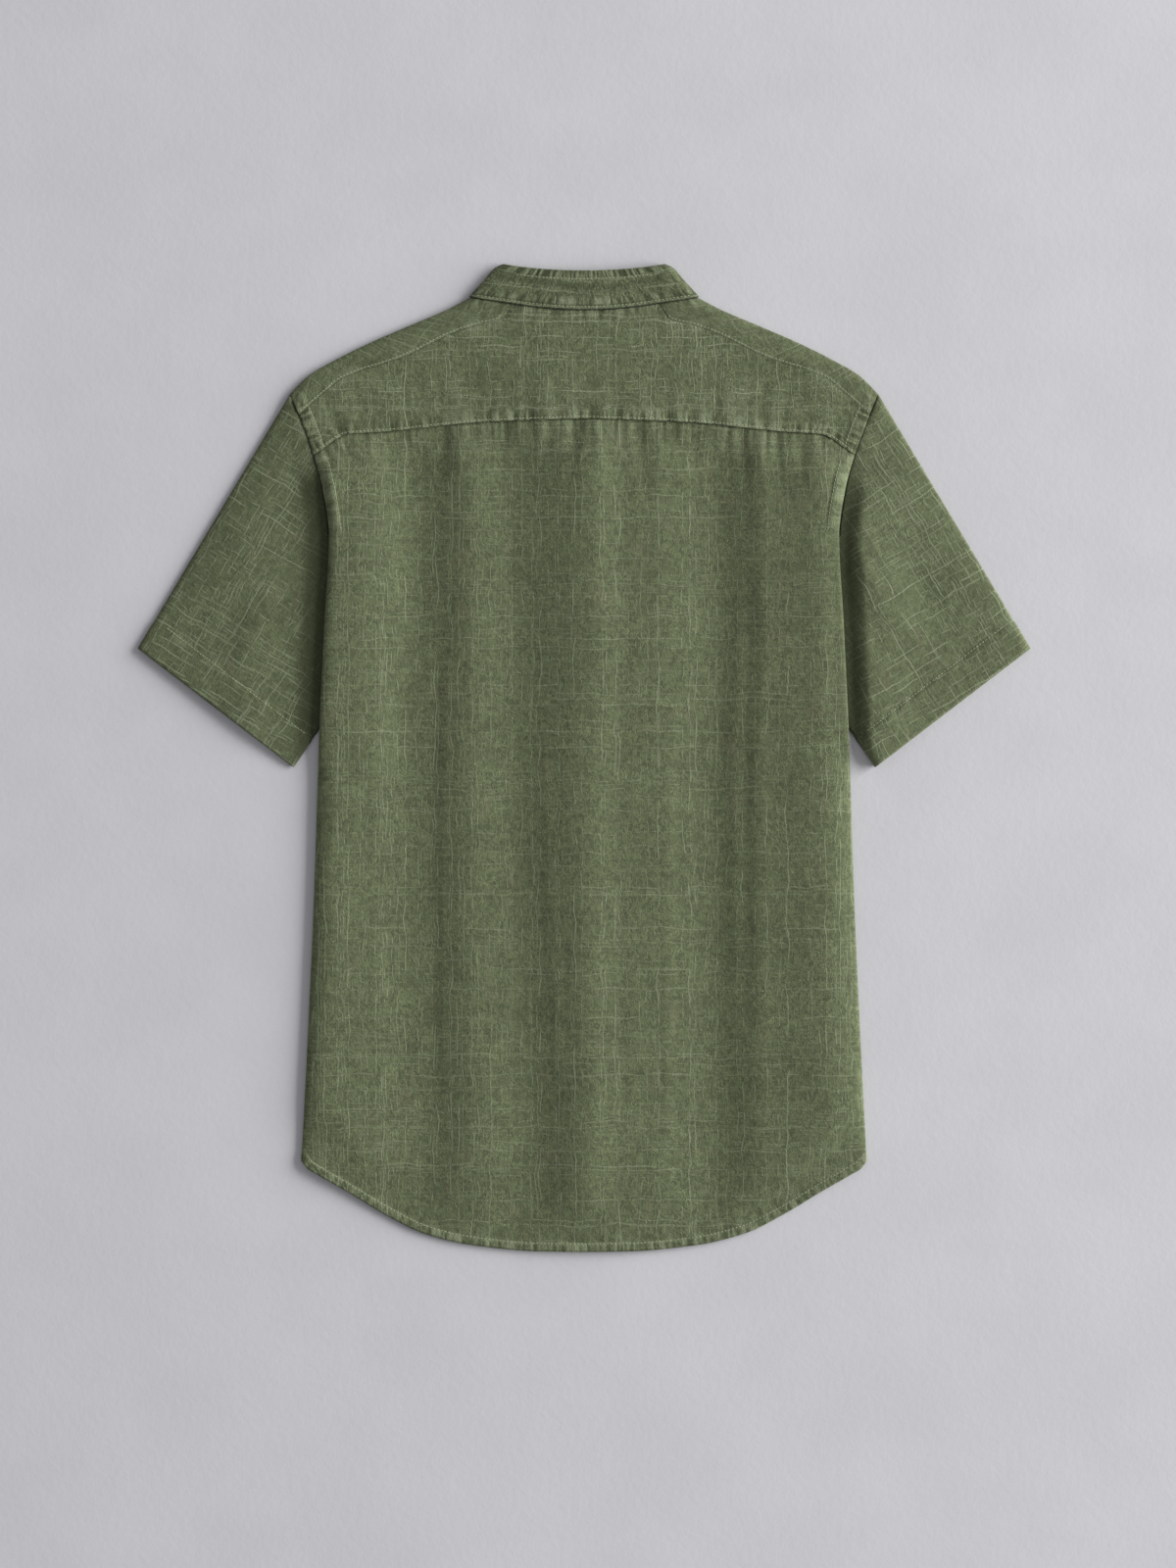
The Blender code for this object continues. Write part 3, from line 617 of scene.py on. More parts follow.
def linen(name, warp=1.0, weft=0.5, crinkle=1.0, offset=(0.0, 0.0), dye_and_shade=1.0):
    """Material of one panel, cut from the same unevenly dyed cloth at another place."""
    material, tree, shader = new_material(name)
    cut = add_node(tree, "UVMap", uv_map="cut")
    cut = add_node(tree, "VectorMath", {0: cut, 1: (*offset, 0.0)}, operation="ADD")
    wear_and_shade = add_node(tree, "Attribute", attribute_name="wear_and_shade").node.outputs["Fac"]
    cloth = tree.nodes.new("ShaderNodeGroup")
    cloth.node_tree = slub_linen
    feed(tree, cloth, {"Cut": cut, "Wear And Shade": wear_and_shade, "Warp Slubs": warp, "Weft Slubs": weft,
                       "Crinkle": crinkle, "Cloth": (*(channel * dye_and_shade for channel in LINEN), 1)})
    bump = add_node(tree, "Bump", {"Height": cloth.outputs["Height"], "Strength": 1.0,
                                   "Distance": MM})
    feed(tree, shader, {"Base Color": cloth.outputs["Color"], "Normal": bump,
                        "Roughness": cloth.outputs["Roughness"], "Specular IOR Level": 0.25,
                        "Sheen Weight": 0.12, "Sheen Roughness": 0.5})
    return material


def puckered(from_seam, along, depth, band, pitch, seed):
    """Height of the small puckers that a row of stitches draws up beside a seam, and their colour:
    paler on the raised parts as wear, darker in the dips as painted shade.
    """
    wave = uneven(along, pitch, seed) + 0.5 * uneven(along, pitch * 0.47, seed + 1)
    fade = ease(1 - from_seam / band) * (0.75 + 0.25 * uneven(along, pitch * 7, seed + 2))
    return depth * wave * fade, np.clip(1.6 * wave * fade, -1, 1)


def stitch_groove(from_line, depth=0.28, half=1.1):
    """The dip that a row of stitches pulls into the cloth."""
    return -depth * hump(from_line, half)


def hem_relief(points, line, seed):
    """Height, wear with painted shade, and extra thickness of a narrow turned hem along a line."""
    away, along = beside_line(points, line)
    inside = ease((HEM_DEPTH + 0.9 - away) / 0.9)
    height, wear_and_shade = puckered(np.abs(away - HEM_DEPTH * 0.5), along, 0.26, 7.5, 2.0, seed)
    soft_height, soft_wear_and_shade = puckered(away - HEM_DEPTH, along, 0.2, 14, 4.0, seed + 5)
    outside = away > HEM_DEPTH
    height = np.where(outside, soft_height, height) + stitch_groove(away - HEM_DEPTH)
    wear_and_shade = np.where(outside, 0.35 * soft_wear_and_shade, wear_and_shade) + 0.7 * hump(away - HEM_DEPTH, 1.3)
    return height + 0.18 * inside, wear_and_shade, 0.75 * inside


armhole_line = [(curve(BODY_EDGE, y), y) for y in np.linspace(172, BODY_EDGE[-1][0], 60)]


def armhole_relief(points, seed):
    """Height, wear with painted shade, and thickness of the stitched-down seam allowance round an
    armhole.
    """
    away, along = beside_line(points, armhole_line)
    inside = ease((ARMHOLE_BAND + 0.8 - away) / 0.8)
    height, wear_and_shade = puckered(np.abs(away - ARMHOLE_BAND * 0.5), along, 0.32, 9, 2.6, seed)
    height = height * ease((along + 2) / 20) - 0.45 * hump(away - ARMHOLE_BAND, 1.3)
    # painted shade darkens the dip beside the stitch row and the seam line itself; the stitch row is
    # paler
    wear_and_shade = (wear_and_shade * 0.9 - 0.5 * hump(away - ARMHOLE_BAND - 1.1, 1.6) - 0.7 * hump(away, 1.6)
            + 0.9 * hump(away - ARMHOLE_BAND, 1.2) + 0.22 * inside)
    return height + 0.40 * inside, np.clip(wear_and_shade, -1, 1), 0.6 * inside


back_y = np.concatenate([np.linspace(SEAM_Y, UNDERARM_Y, 36),
                         spaced(UNDERARM_Y, SIDE_HEM_Y, 1.4, 7.0, 10)[1:]])
back_x, back_level, back_in = back_half(back_y)
bx, by, b_in = both_sides(back_x, back_level, back_in)
back_points = np.stack([bx, by, top_height(bx, by, back_y[:, None], b_in)], axis=-1)
yoke_end, hem_end = YOKE_SEAM[-1][0], BACK_HEM[-1][0]
yoke_line = [(x, curve(YOKE_SEAM, abs(x))) for x in np.linspace(-yoke_end, yoke_end, 90)]
hem_line = [(x, hem_y(x)) for x in np.linspace(-hem_end, hem_end, 140)]
hem_height, hem_wear_and_shade, hem_thick = hem_relief(back_points, hem_line, 3)

below, along = beside_line(back_points, yoke_line)
gather_height = 0.0
for x, half, height, length in YOKE_GATHERS:
    lean = x + 0.10 * below * np.sign(x)
    reach = ease((length - below) / length) * ease((below + 1) / 4)
    gather_height = gather_height + height * reach * hump(bx - lean, half)
pucker_height, pucker_wear_and_shade = puckered(below, along, 0.36, 28, 2.8, 21)
at_armhole = ease((by - UNDERARM_Y) / 12)
arm_height, arm_wear_and_shade, arm_thick = (a * at_armhole for a in armhole_relief(np.abs(back_points), 75))
back_points[..., 2] += (hem_height + gather_height + pucker_height + arm_height
                        - 0.45 * hump(below, 2.0))
# wear and painted shade: puckers and gathers paler on their ridges and darker in their dips, and a
# painted shadow line just below the yoke's edge
back_wear_and_shade = np.clip(hem_wear_and_shade + 0.45 * pucker_wear_and_shade - 0.8 * hump(below, 1.6) + 0.5 * arm_wear_and_shade
                    + 0.35 * gather_height, -1, 1)
# painted shade: the right side is darkened where it turns down into the valley beside the sleeve,
# where the sleeve's ridge shades it
beside_sleeve = (bx > 0) * ease((by + 12) / 20) * ease((215 - by) / 25)
back_wear_and_shade = np.clip(back_wear_and_shade - 0.5 * beside_sleeve * hump(b_in - 3, 6), -1, 1)
# its top edge goes on a little way under the yoke, painted dark as the shade in the slit beneath it
beneath = back_points[:1].repeat(2, axis=0)
beneath[:, :, 1] += np.array([[3.0], [1.4]])
beneath[:, :, 2] -= np.array([[0.5], [0.3]])
back_points = np.concatenate([beneath, back_points])
back_wear_and_shade = np.concatenate([np.full((2, bx.shape[1]), -1.0), back_wear_and_shade])
back_thick = CLOTH + np.concatenate([np.zeros((2, bx.shape[1])), hem_thick + arm_thick])


FOLD_RADIUS = 2.2


def tuck_grid():
    """The right side, from its outermost line round and under to the side seam."""
    y = back_y[back_y <= UNDERARM_Y]
    width, tuck, edge = side_x(y), curve(SIDE_TUCK, y), side_height(y)
    radius = np.minimum(FOLD_RADIUS, tuck)
    columns = []
    for angle in np.radians(np.linspace(0, 90, 8)):
        x = width - radius * (1 - np.cos(angle))
        columns.append((x, y, mix(edge, tuck_height(x, y), np.sin(angle))))
    for share in np.linspace(0, 1, 10)[1:]:
        x = width - mix(radius, tuck, share)
        columns.append((x, y, tuck_height(x, y)))
    points = np.array(columns).transpose(2, 0, 1)
    arc = np.concatenate([np.zeros((len(y), 1)),
                          np.cumsum(np.linalg.norm(np.diff(points, axis=1), axis=-1), axis=1)], 1)
    return points, np.stack([width[:, None] + arc, points[..., 1]], axis=-1)


underarm_row = int(np.argmax(back_y <= UNDERARM_Y)) + 2
tuck_points, tuck_cut = tuck_grid()
tuck_points[:, 0] = back_points[underarm_row:, -1]      # the fold meets the top layer exactly
tuck_hem = hem_relief(tuck_points, hem_line, 3)
tuck = patch(tuck_points, tuck_cut, tuck_hem[1], CLOTH + tuck_hem[2] * 0.6)

back_material = linen("linen_back", warp=0.85, weft=0.65, crinkle=1.15)
back = sewn_cloth("back", [patch(back_points, None, back_wear_and_shade, back_thick), tuck, mirrored(tuck)],
                  back_material)
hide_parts("back_panel")

# ---- Yoke -----------------------------------------------------------------------------------
# The yoke is one layer across the shoulders. Its lower edge is pressed under and edge-stitched
# over the top of the back, its ends are caught in the armholes and its top in the collar.
SHOULDER_SEAM = [  # x, y
    (60, 366.7), (70, 353.4), (85, 350), (106, 343), (142, 325.6), (164, 317.5),
    (180.5, 312.6), (197, 305.3), (209.7, 294.8), (219.4, 286.7), (230, 277),
]
SHOULDER_FOLD = [  # x, y
    (92.5, 371.6), (111, 362), (144, 348), (176, 334), (204.5, 319.6), (221, 310),
    (231.5, 300.5), (237.5, 294),
]
SHOULDER_ROUNDING = 14.0
YOKE_DEPTH = 92.0
YOKE_DIPS = [  # x, y, half width, half length, height: shallow dents of the upper back
    (-96, 306, 30, 18, -0.7), (-30, 322, 26, 26, 0.56), (52, 310, 30, 22, -0.56),
    (118, 300, 26, 20, 0.63), (170, 290, 20, 16, -0.56), (-160, 292, 24, 18, 0.56),
]


def shoulder_columns(inner_x, outer_x):
    middle = mix(inner_x, outer_x - SIDE_BAND, np.arange(INNER_COLUMNS) / INNER_COLUMNS)
    return np.concatenate([middle, outer_x - edge_steps()])


def shoulder_end_height(x, y):
    """Height of the top layer at the shoulder seam; it dips to the armhole."""
    from_armhole = SHOULDER_SEAM[-1][0] - x
    dip = mix(side_height(y), SHOULDER_HEIGHT, quarter(from_armhole / curve(SIDE_ROUNDINGS, y)))
    return mix(dip, shoulder_rise(x), ease((from_armhole - SIDE_ROUNDING) / 50))


def neck_seam_y(x):
    return 361.4 + 11.5 * (x / 88) ** 2


shoulder_x = shoulder_columns(SHOULDER_SEAM[0][0], SHOULDER_SEAM[-1][0])
shoulder_y = curve(SHOULDER_SEAM, shoulder_x)
neck_x = NECK_HALF * np.arange(NECK_COLUMNS) / NECK_COLUMNS


def yoke_grid():
    bottom_x, bottom_y, bottom_in = (a[0] for a in back_half(SEAM_Y))
    top_x = np.concatenate([neck_x, shoulder_x])
    top_y = np.concatenate([neck_seam_y(neck_x), shoulder_y])
    top_y = top_y + 0.4 * hump(top_x - 67, 7.5) - 0.12 * ease((top_x - 70) / 10)
    share = spaced(0, YOKE_DEPTH, 1.1, 3.2, 10)[:, None] / YOKE_DEPTH
    x = mix(bottom_x, top_x, share)
    y = mix(bottom_y + SEAM_GAP, top_y, share)
    x[:, -1] = curve(BODY_EDGE, y[:, -1]) - CLOTH / 2
    from_armhole = mix(bottom_in, SHOULDER_SEAM[-1][0] - top_x, share)
    height = mix(curve(SIDE_CROWN, y), shoulder_rise(x), ease((from_armhole - SIDE_ROUNDING) / 50))
    z = mix(side_height(y), height, quarter(from_armhole / curve(SIDE_ROUNDINGS, y)))
    return both_sides(x, y, z)


neck_line = [(x, neck_seam_y(x)) for x in np.linspace(-92, 92, 60)]
shoulder_line = np.stack([shoulder_x, shoulder_y], axis=-1)


def neck_relief(points):
    """Distance, height, and wear with painted shade, darkest in the seam line, beside the seam of the
    collar.
    """
    away, along = beside_line(points, neck_line)
    height, wear_and_shade = puckered(away, along, 0.24, 14, 3.0, 50)
    return away, height - 0.3 * hump(away, 1.8), 0.7 * wear_and_shade - 0.9 * hump(away, 1.3)


def beside_shoulder(points):
    """Distance from the shoulder seam, place along it, and 0 at the neck to 1 well past it."""
    away, along = beside_line(np.abs(points), shoulder_line)
    return away, along, ease((np.abs(points[..., 0]) - 72) / 30)


yx, yy, yz = yoke_grid()
yoke_plain = np.stack([yx, yy, yz], axis=-1)
from_yoke_seam, along = beside_line(yoke_plain, yoke_line)
pucker_height, pucker_wear_and_shade = puckered(from_yoke_seam, along, 0.36, 13, 2.0, 40)
streak_height, streak_wear_and_shade = puckered(from_yoke_seam, along, 0.30, 55, 7.5, 44)
folded_edge = ease((8.2 - from_yoke_seam) / 1.6)
height = (pucker_height + streak_height + 0.22 * folded_edge
          + 0.22 * hump(from_yoke_seam - 1.2, 1.6))
for x, y, half_x, half_y, dip in YOKE_DIPS:
    height = height + dip * hump(np.hypot((yx - x) / half_x, (yy - y) / half_y), 1)
from_neck, neck_height, neck_wear_and_shade = neck_relief(yoke_plain)
from_shoulder, along, past_neck = beside_shoulder(yoke_plain)
seam_height, seam_wear_and_shade = puckered(from_shoulder, along, 0.2, 9, 6.0, 60)
arm_height, arm_wear_and_shade, arm_thick = armhole_relief(np.abs(yoke_plain), 70)
off_seam = ease((from_shoulder - 0.5) / 3)
yoke_points = yoke_plain.copy()
yoke_points[..., 2] += (height + seam_height + arm_height) * off_seam + neck_height
# wear and painted light: puckers paler on their ridges and darker in their dips, a pale pressed edge
# at the yoke seam, darker along the shoulder seam, and a painted highlight where the shoulder seam
# meets the neck, against the shade of the rolled edge
yoke_wear_and_shade = np.clip(1.25 * pucker_wear_and_shade + 0.75 * hump(from_yoke_seam - 0.9, 1.5)
                    + 0.30 * streak_wear_and_shade + neck_wear_and_shade + 0.4 * seam_wear_and_shade + arm_wear_and_shade
                    - 0.3 * hump(from_shoulder, 1.6) * past_neck
                    + 0.35 * hump(from_shoulder, 1.8) * (1 - past_neck) * ease(from_neck / 2), -1, 1)
yoke_thick = CLOTH + 0.3 * folded_edge + arm_thick
yoke_material = linen("linen_yoke", warp=1.0, weft=1.1, crinkle=1.2, offset=(137.0, 912.0))
yoke = sewn_cloth("yoke_cloth", [patch(yoke_points, None, yoke_wear_and_shade, yoke_thick)], yoke_material)
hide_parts("yoke")

# ---- Fronts ---------------------------------------------------------------------------------
# Two mirrored fronts lie face down under the back and overlap at the centre line, where they
# are buttoned. Each wraps over the shoulder to its seam with the yoke on the other side.
HALF_OVERLAP = 15.0
NECKLINE_COLUMNS = 56
FRONT_NECK = [  # distance along it from the centre, x, y
    (0, 0, 288), (36, 35, 293), (66, 62, 308), (95, 79.3, 330), (119, 87.4, 351.5),
    (139, 91.1, 369.2),
]
FRONT_ARMHOLE = [  # y, x
    (82, 171), (110, 172.5), (150, 178), (195, 190), (230, 205), (265, 221.5), (294, 237.5),
]


def shoulder_outline():
    """Points of the shoulder's outline with their inward directions."""
    x = shoulder_columns(SHOULDER_FOLD[0][0], SHOULDER_FOLD[-1][0])
    left, right = np.maximum(x - 4, SHOULDER_FOLD[0][0]), np.minimum(x + 4, SHOULDER_FOLD[-1][0])
    slope = (curve(SHOULDER_FOLD, right) - curve(SHOULDER_FOLD, left)) / (right - left)
    inward = unit(np.stack([slope, -np.ones_like(x)], axis=-1))
    return np.stack([x, curve(SHOULDER_FOLD, x)], axis=-1) + inward * CLOTH / 2, inward


def shoulder_strip():
    """The right front's wrap over the shoulder: rows from the floor to the shoulder seam."""
    outline, inward = shoulder_outline()
    seam_z = shoulder_end_height(shoulder_x, shoulder_y)
    radius = (SHOULDER_HEIGHT - FLOOR_LAYER) / 2
    rows, arcs = [], []
    for angle in np.radians(np.linspace(90, 0, 9)):
        flat = outline + inward * radius * (1 - np.cos(angle))
        z = np.full(len(flat), FLOOR_LAYER + radius * (1 - np.sin(angle)))
        rows.append(np.column_stack([flat, z]))
        arcs.append(np.full(len(flat), radius * (np.pi / 2 - angle)))
    quarter_turn = radius * np.pi / 2
    span = np.linalg.norm(shoulder_line - outline, axis=-1)
    way = (shoulder_line - outline) / span[:, None]
    for step in SHOULDER_ROUNDING * (1 - np.cos(np.linspace(0, np.pi / 2, 10)[1:])):
        z = mix(FLOOR_LAYER + radius, seam_z, quarter(step / SHOULDER_ROUNDING))
        rows.append(np.column_stack([outline + way * step, z]))
        arcs.append(np.full(len(span), quarter_turn + step))
    for share in np.linspace(0, 1, 12)[1:]:
        step = mix(SHOULDER_ROUNDING, span, share)
        rows.append(np.column_stack([outline + way * step[:, None], seam_z]))
        arcs.append(quarter_turn + step)
    arcs = np.array(arcs)
    cut = outline - inward * arcs[..., None]
    return np.array(rows), cut


OUTLINE_ROW = 8                 # row of the shoulder's outermost line
strip_plain, strip_cut = shoulder_strip()
_, neck_height, neck_wear_and_shade = neck_relief(strip_plain)
from_shoulder, along, past_neck = beside_shoulder(strip_plain)
height, strip_wear_and_shade = puckered(from_shoulder, along, 0.18, 9, 5.4, 80)
arm_height, arm_wear_and_shade, arm_thick = armhole_relief(strip_plain, 70)
on_top = (np.arange(len(strip_plain)) > OUTLINE_ROW + 5)[:, None]
strip_edge = ease((6.5 - from_shoulder) / 1.2)
off_seam = ease((from_shoulder - 0.5) / 3)
strip_points = strip_plain.copy()
strip_points[..., 2] += np.where(on_top, (height + arm_height) * off_seam + neck_height, 0)
# painted highlight: paler along the shoulder seam near the neck, against the shade of its rolled
# edge; elsewhere puckers are paler on their ridges and darker in their dips
strip_wear_and_shade = np.clip(np.where(on_top, strip_wear_and_shade * 0.5 + arm_wear_and_shade + neck_wear_and_shade
                              + 0.6 * hump(from_shoulder - 1.2, 1.5) * past_neck
                              + 0.8 * hump(from_shoulder, 1.8) * (1 - past_neck), 0), -1, 1)
strip_thick = CLOTH + np.where(on_top, arm_thick + 0.06 * strip_edge, 0)

front_side_y = np.concatenate([spaced(SIDE_HEM_Y, ARMPIT_Y, 1.8, 8.0, 10),
                               spaced(ARMPIT_Y, SHOULDER_FOLD[-1][1], 3.5, 6.0, 10)[1:-1]])


def front_grid(rise_at_buttons):
    """A front on the floor, from its hem to the neckline and the shoulder's fold."""
    fold = strip_points[0]
    length = FRONT_NECK[-1][0] * np.arange(1, NECKLINE_COLUMNS) / NECKLINE_COLUMNS
    neckline = np.stack([curve(FRONT_NECK, length, 1), curve(FRONT_NECK, length, 2)], axis=-1)
    start = [[-HALF_OVERLAP, curve(FRONT_NECK, HALF_OVERLAP, 2)]]
    top = np.concatenate([start, neckline, fold[:, :2]])
    y = front_side_y
    tucked = side_x(y) - curve(SIDE_TUCK, y) - SEAM_GAP
    side_points = np.stack([np.where(y <= ARMPIT_Y, tucked, curve(FRONT_ARMHOLE, y)), y], axis=-1)
    side = np.concatenate([side_points, fold[-1:, :2]])
    u = np.linspace(0, 1, len(top))
    v = np.linspace(0, 1, len(side))[:, None]
    x = mix(-HALF_OVERLAP, side[0, 0], u)
    shift = mix(6, side[0, 1] - BACK_HEM[-1][1], ease((x - 120) / 100))
    bottom = np.stack([x, hem_y(x * BACK_HEM[-1][0] / side[0, 0]) + shift], axis=-1)
    centre = np.stack([np.full(len(side), -HALF_OVERLAP),
                       mix(bottom[0, 1], top[0, 1], v[:, 0])], axis=-1)
    u, v = u[None, :, None], v[..., None]
    corner = mix(mix(bottom[0], bottom[-1], u), mix(top[0], top[-1], u), v)
    flat = mix(bottom[None], top[None], v) + mix(centre[:, None], side[:, None], u) - corner
    z = front_middle(flat[..., 0], flat[..., 1], rise_at_buttons)
    return np.concatenate([flat, z[..., None]], axis=-1), bottom, top


def front_panel(rise_at_buttons, seed):
    """Patches, neckline and hem of a front that lies on the right; the left one is mirrored."""
    points, bottom, top = front_grid(rise_at_buttons)
    _, wear_and_shade, thick = hem_relief(points, bottom, seed)
    from_edge = points[..., 0] + HALF_OVERLAP
    placket = ease((30.5 - from_edge) / 0.8)
    wear_and_shade = wear_and_shade + 0.5 * puckered(np.abs(from_edge - 29), points[..., 1], 0.1, 5, 5.5, seed + 9)[1]
    thick = CLOTH + 0.5 * np.maximum(thick, 0.5 * placket)
    points[..., 2] += (thick - CLOTH) / 2
    flat = patch(points, None, np.clip(wear_and_shade, -1, 1), thick)
    wrap = patch(strip_points, strip_cut, strip_wear_and_shade, strip_thick)
    return [flat, wrap], top, bottom


front_material = linen("linen_front", warp=0.8, weft=0.5, offset=(811.0, 333.0))
right_patches, right_top, front_hem = front_panel(RIGHT_FRONT_RISE, 103)
left_patches, left_top, _ = front_panel(LEFT_FRONT_RISE, 107)
left_patches = [mirrored(grid) for grid in left_patches]
right_front = sewn_cloth("right_front", right_patches, front_material)
left_front = sewn_cloth("left_front", left_patches, front_material)
for front, node, below in ((right_front, "front_right", "left_front"),
                           (left_front, "front_left", "floor")):
    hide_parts(node)

# ---- Sleeves --------------------------------------------------------------------------------
# Each short sleeve is one cut, sewn to a tube along the underarm and set into the armhole. It
# lies flat with its top layer diving under the body's side, and its cuff has a deep plain hem.
CUFF_OUTER, CUFF_INNER = (360.5, 88.0), (235.5, -7.5)
CUFF_LOFT = 4.4                 # top layer of a sleeve
CUFF_HEM = 27.5
VALLEY_PAINTED_SHADE = {"right": 17.0, "left": 25.0}    # width of the painted shade deep in the valley beside the body
SLEEVE_WIDTH, SLEEVE_LENGTH = 150.0, 190.0      # across the flat sleeve, and from seam to cuff
SLEEVE_TILT = 2.0               # how much lower the sleeve lies at its outer fold
VALLEY = {  # flat strip beside the body, run up from it, ridge's distance, half widths, height
    "right": (5.0, 14.0, 20.0, 15.0, 50.0, 3.6), "left": (19.0, 50.0, 60.0, 30.0, 50.0, 0.4)}
SLEEVE_CREASES = [  # share across at the armhole, at the cuff, half width mm, height, reach
    (0.16, 0.10, 13, 0.55, 0.9), (0.33, 0.30, 15, -0.6, 1.0), (0.52, 0.46, 16, 0.8, 1.0),
    (0.70, 0.63, 13, -0.55, 0.8), (0.85, 0.80, 12, 0.6, 0.75), (0.42, 0.55, 9, -0.35, 0.6),
]


def armhole_outward(y):
    """Level direction from the body into the sleeve, square to the armhole seam."""
    slope = (curve(BODY_EDGE, y + 3) - curve(BODY_EDGE, y - 3)) / 6
    return unit(np.stack([np.ones_like(slope), -slope, np.zeros_like(slope)], axis=-1))


def resampled(line, pitch):
    """A line with points at an even pitch, its ends kept."""
    line = np.asarray(line, float)
    arc = run_along(line)
    at = np.linspace(0, arc[-1], int(round(arc[-1] / pitch)) + 1)
    return np.column_stack([np.interp(at, arc, column) for column in line.T])


def sleeve_seam():
    """The armhole ring of the right sleeve: x, y, z, share of the width, layer (1 top, -1 floor).

    It starts at the shoulder's fold, follows the top layer to the armpit, and comes back on
    the floor. The share is 0 at the outer fold and 1 at the inner one."""
    right = bx.shape[1] - 1
    upper = np.concatenate([
        strip_plain[OUTLINE_ROW:, -1], yoke_plain[::-1, right][1:],
        back_plain[back_y >= UNDERARM_Y, right][1:]])
    low = ease((240 - upper[:, 1]) / 36)
    upper = upper + armhole_outward(upper[:, 1]) * (SEAM_GAP + 0.9 * low)[:, None]
    upper[:, 2] = mix(upper[:, 2], SLEEVE_UPPER_UNDER_BODY, low)
    hidden_y = np.linspace(UNDERARM_Y - 6, ARMPIT_Y + 2, 18)
    hidden_x = side_x(hidden_y) - curve(SIDE_TUCK, hidden_y)
    hidden = np.column_stack([hidden_x, hidden_y, np.full(18, SLEEVE_UPPER_UNDER_BODY)])
    upper = resampled(np.concatenate([upper, hidden]), 2.0)
    y = front_side_y[front_side_y >= ARMPIT_Y]
    lower = np.column_stack([curve(FRONT_ARMHOLE, y), y, np.full(len(y), FLOOR_LAYER)])
    lower = np.concatenate([lower, strip_plain[:OUTLINE_ROW, -1]])
    lower[0, 1] += 1.0
    clear_of_corner = 0.8 * ease(1 - (lower[:, 1] - ARMPIT_Y) / 12)
    lower = lower + armhole_outward(lower[:, 1]) * (SEAM_GAP * 1.3 + clear_of_corner)[:, None]
    lower = resampled(lower, 3.0)

    def width_share(line):
        arc = run_along(line[:, :2])
        return arc / arc[-1]

    top = np.column_stack([upper, width_share(upper), np.ones(len(upper))])
    floor_side = np.column_stack([lower, 1 - width_share(lower), -np.ones(len(lower))])
    return np.concatenate([top, floor_side, top[:1]])


def sleeve_grid(seam, valley):
    """A sleeve, a flattened tube from the armhole to the cuff, as it lies on the right."""
    outer, inner = np.array([*CUFF_OUTER, 0.0]), np.array([*CUFF_INNER, 0.0])
    reach = spaced(0, SLEEVE_LENGTH, 2.4, 3.4, 20)[:, None] / SLEEVE_LENGTH
    start, share, layer = seam[None, :, :3], seam[None, :, 3], seam[None, :, 4]
    end = mix(outer, inner, share[..., None])
    points = mix(start, end, reach[..., None])
    beyond = points[..., 0] - side_x(points[..., 1])
    strip, run, away, half_in, half_out, height = valley
    free = ease((beyond - strip) / run + np.maximum(0.0, (points[..., 1] - 214) / 30))
    crown = mix(SLEEVE_UPPER_UNDER_BODY, CUFF_LOFT, free)
    crown = crown + 0.5 * np.sin(np.pi * share) * np.sin(np.pi * np.minimum(reach * 1.3, 1)) * free
    crown = crown + SLEEVE_TILT * (share - 0.55) * free
    beside_body = ease((232 - points[..., 1]) / 40) * (0.88 + 0.12 * uneven(points[..., 1], 50, 151))
    crown = crown + height * beside_body * np.where(
        beyond < away, hump(beyond - away, half_in), hump(beyond - away, half_out))
    middle = (crown + FLOOR_LAYER) / 2
    top = mix(middle, crown, quarter(np.minimum(share / 0.058, (1 - share) / 0.05)))
    bottom = mix(middle, FLOOR_LAYER, quarter(np.minimum(share, 1 - share) / 0.0092))
    z = np.where(layer > 0, top, bottom)
    points[..., 2] = mix(start[..., 2], z, ease(reach / 0.12))
    return points, reach, share, layer, free


back_plain = np.stack([bx, by, top_height(bx, by, back_y[:, None], b_in)], axis=-1)
seam_ring = sleeve_seam()
outer_end = np.array(CUFF_OUTER)
fold_way = unit(np.array(SHOULDER_FOLD[-1]) - outer_end)
across_way = np.array([-fold_way[1], fold_way[0]])
cuff_line = [CUFF_OUTER, CUFF_INNER]


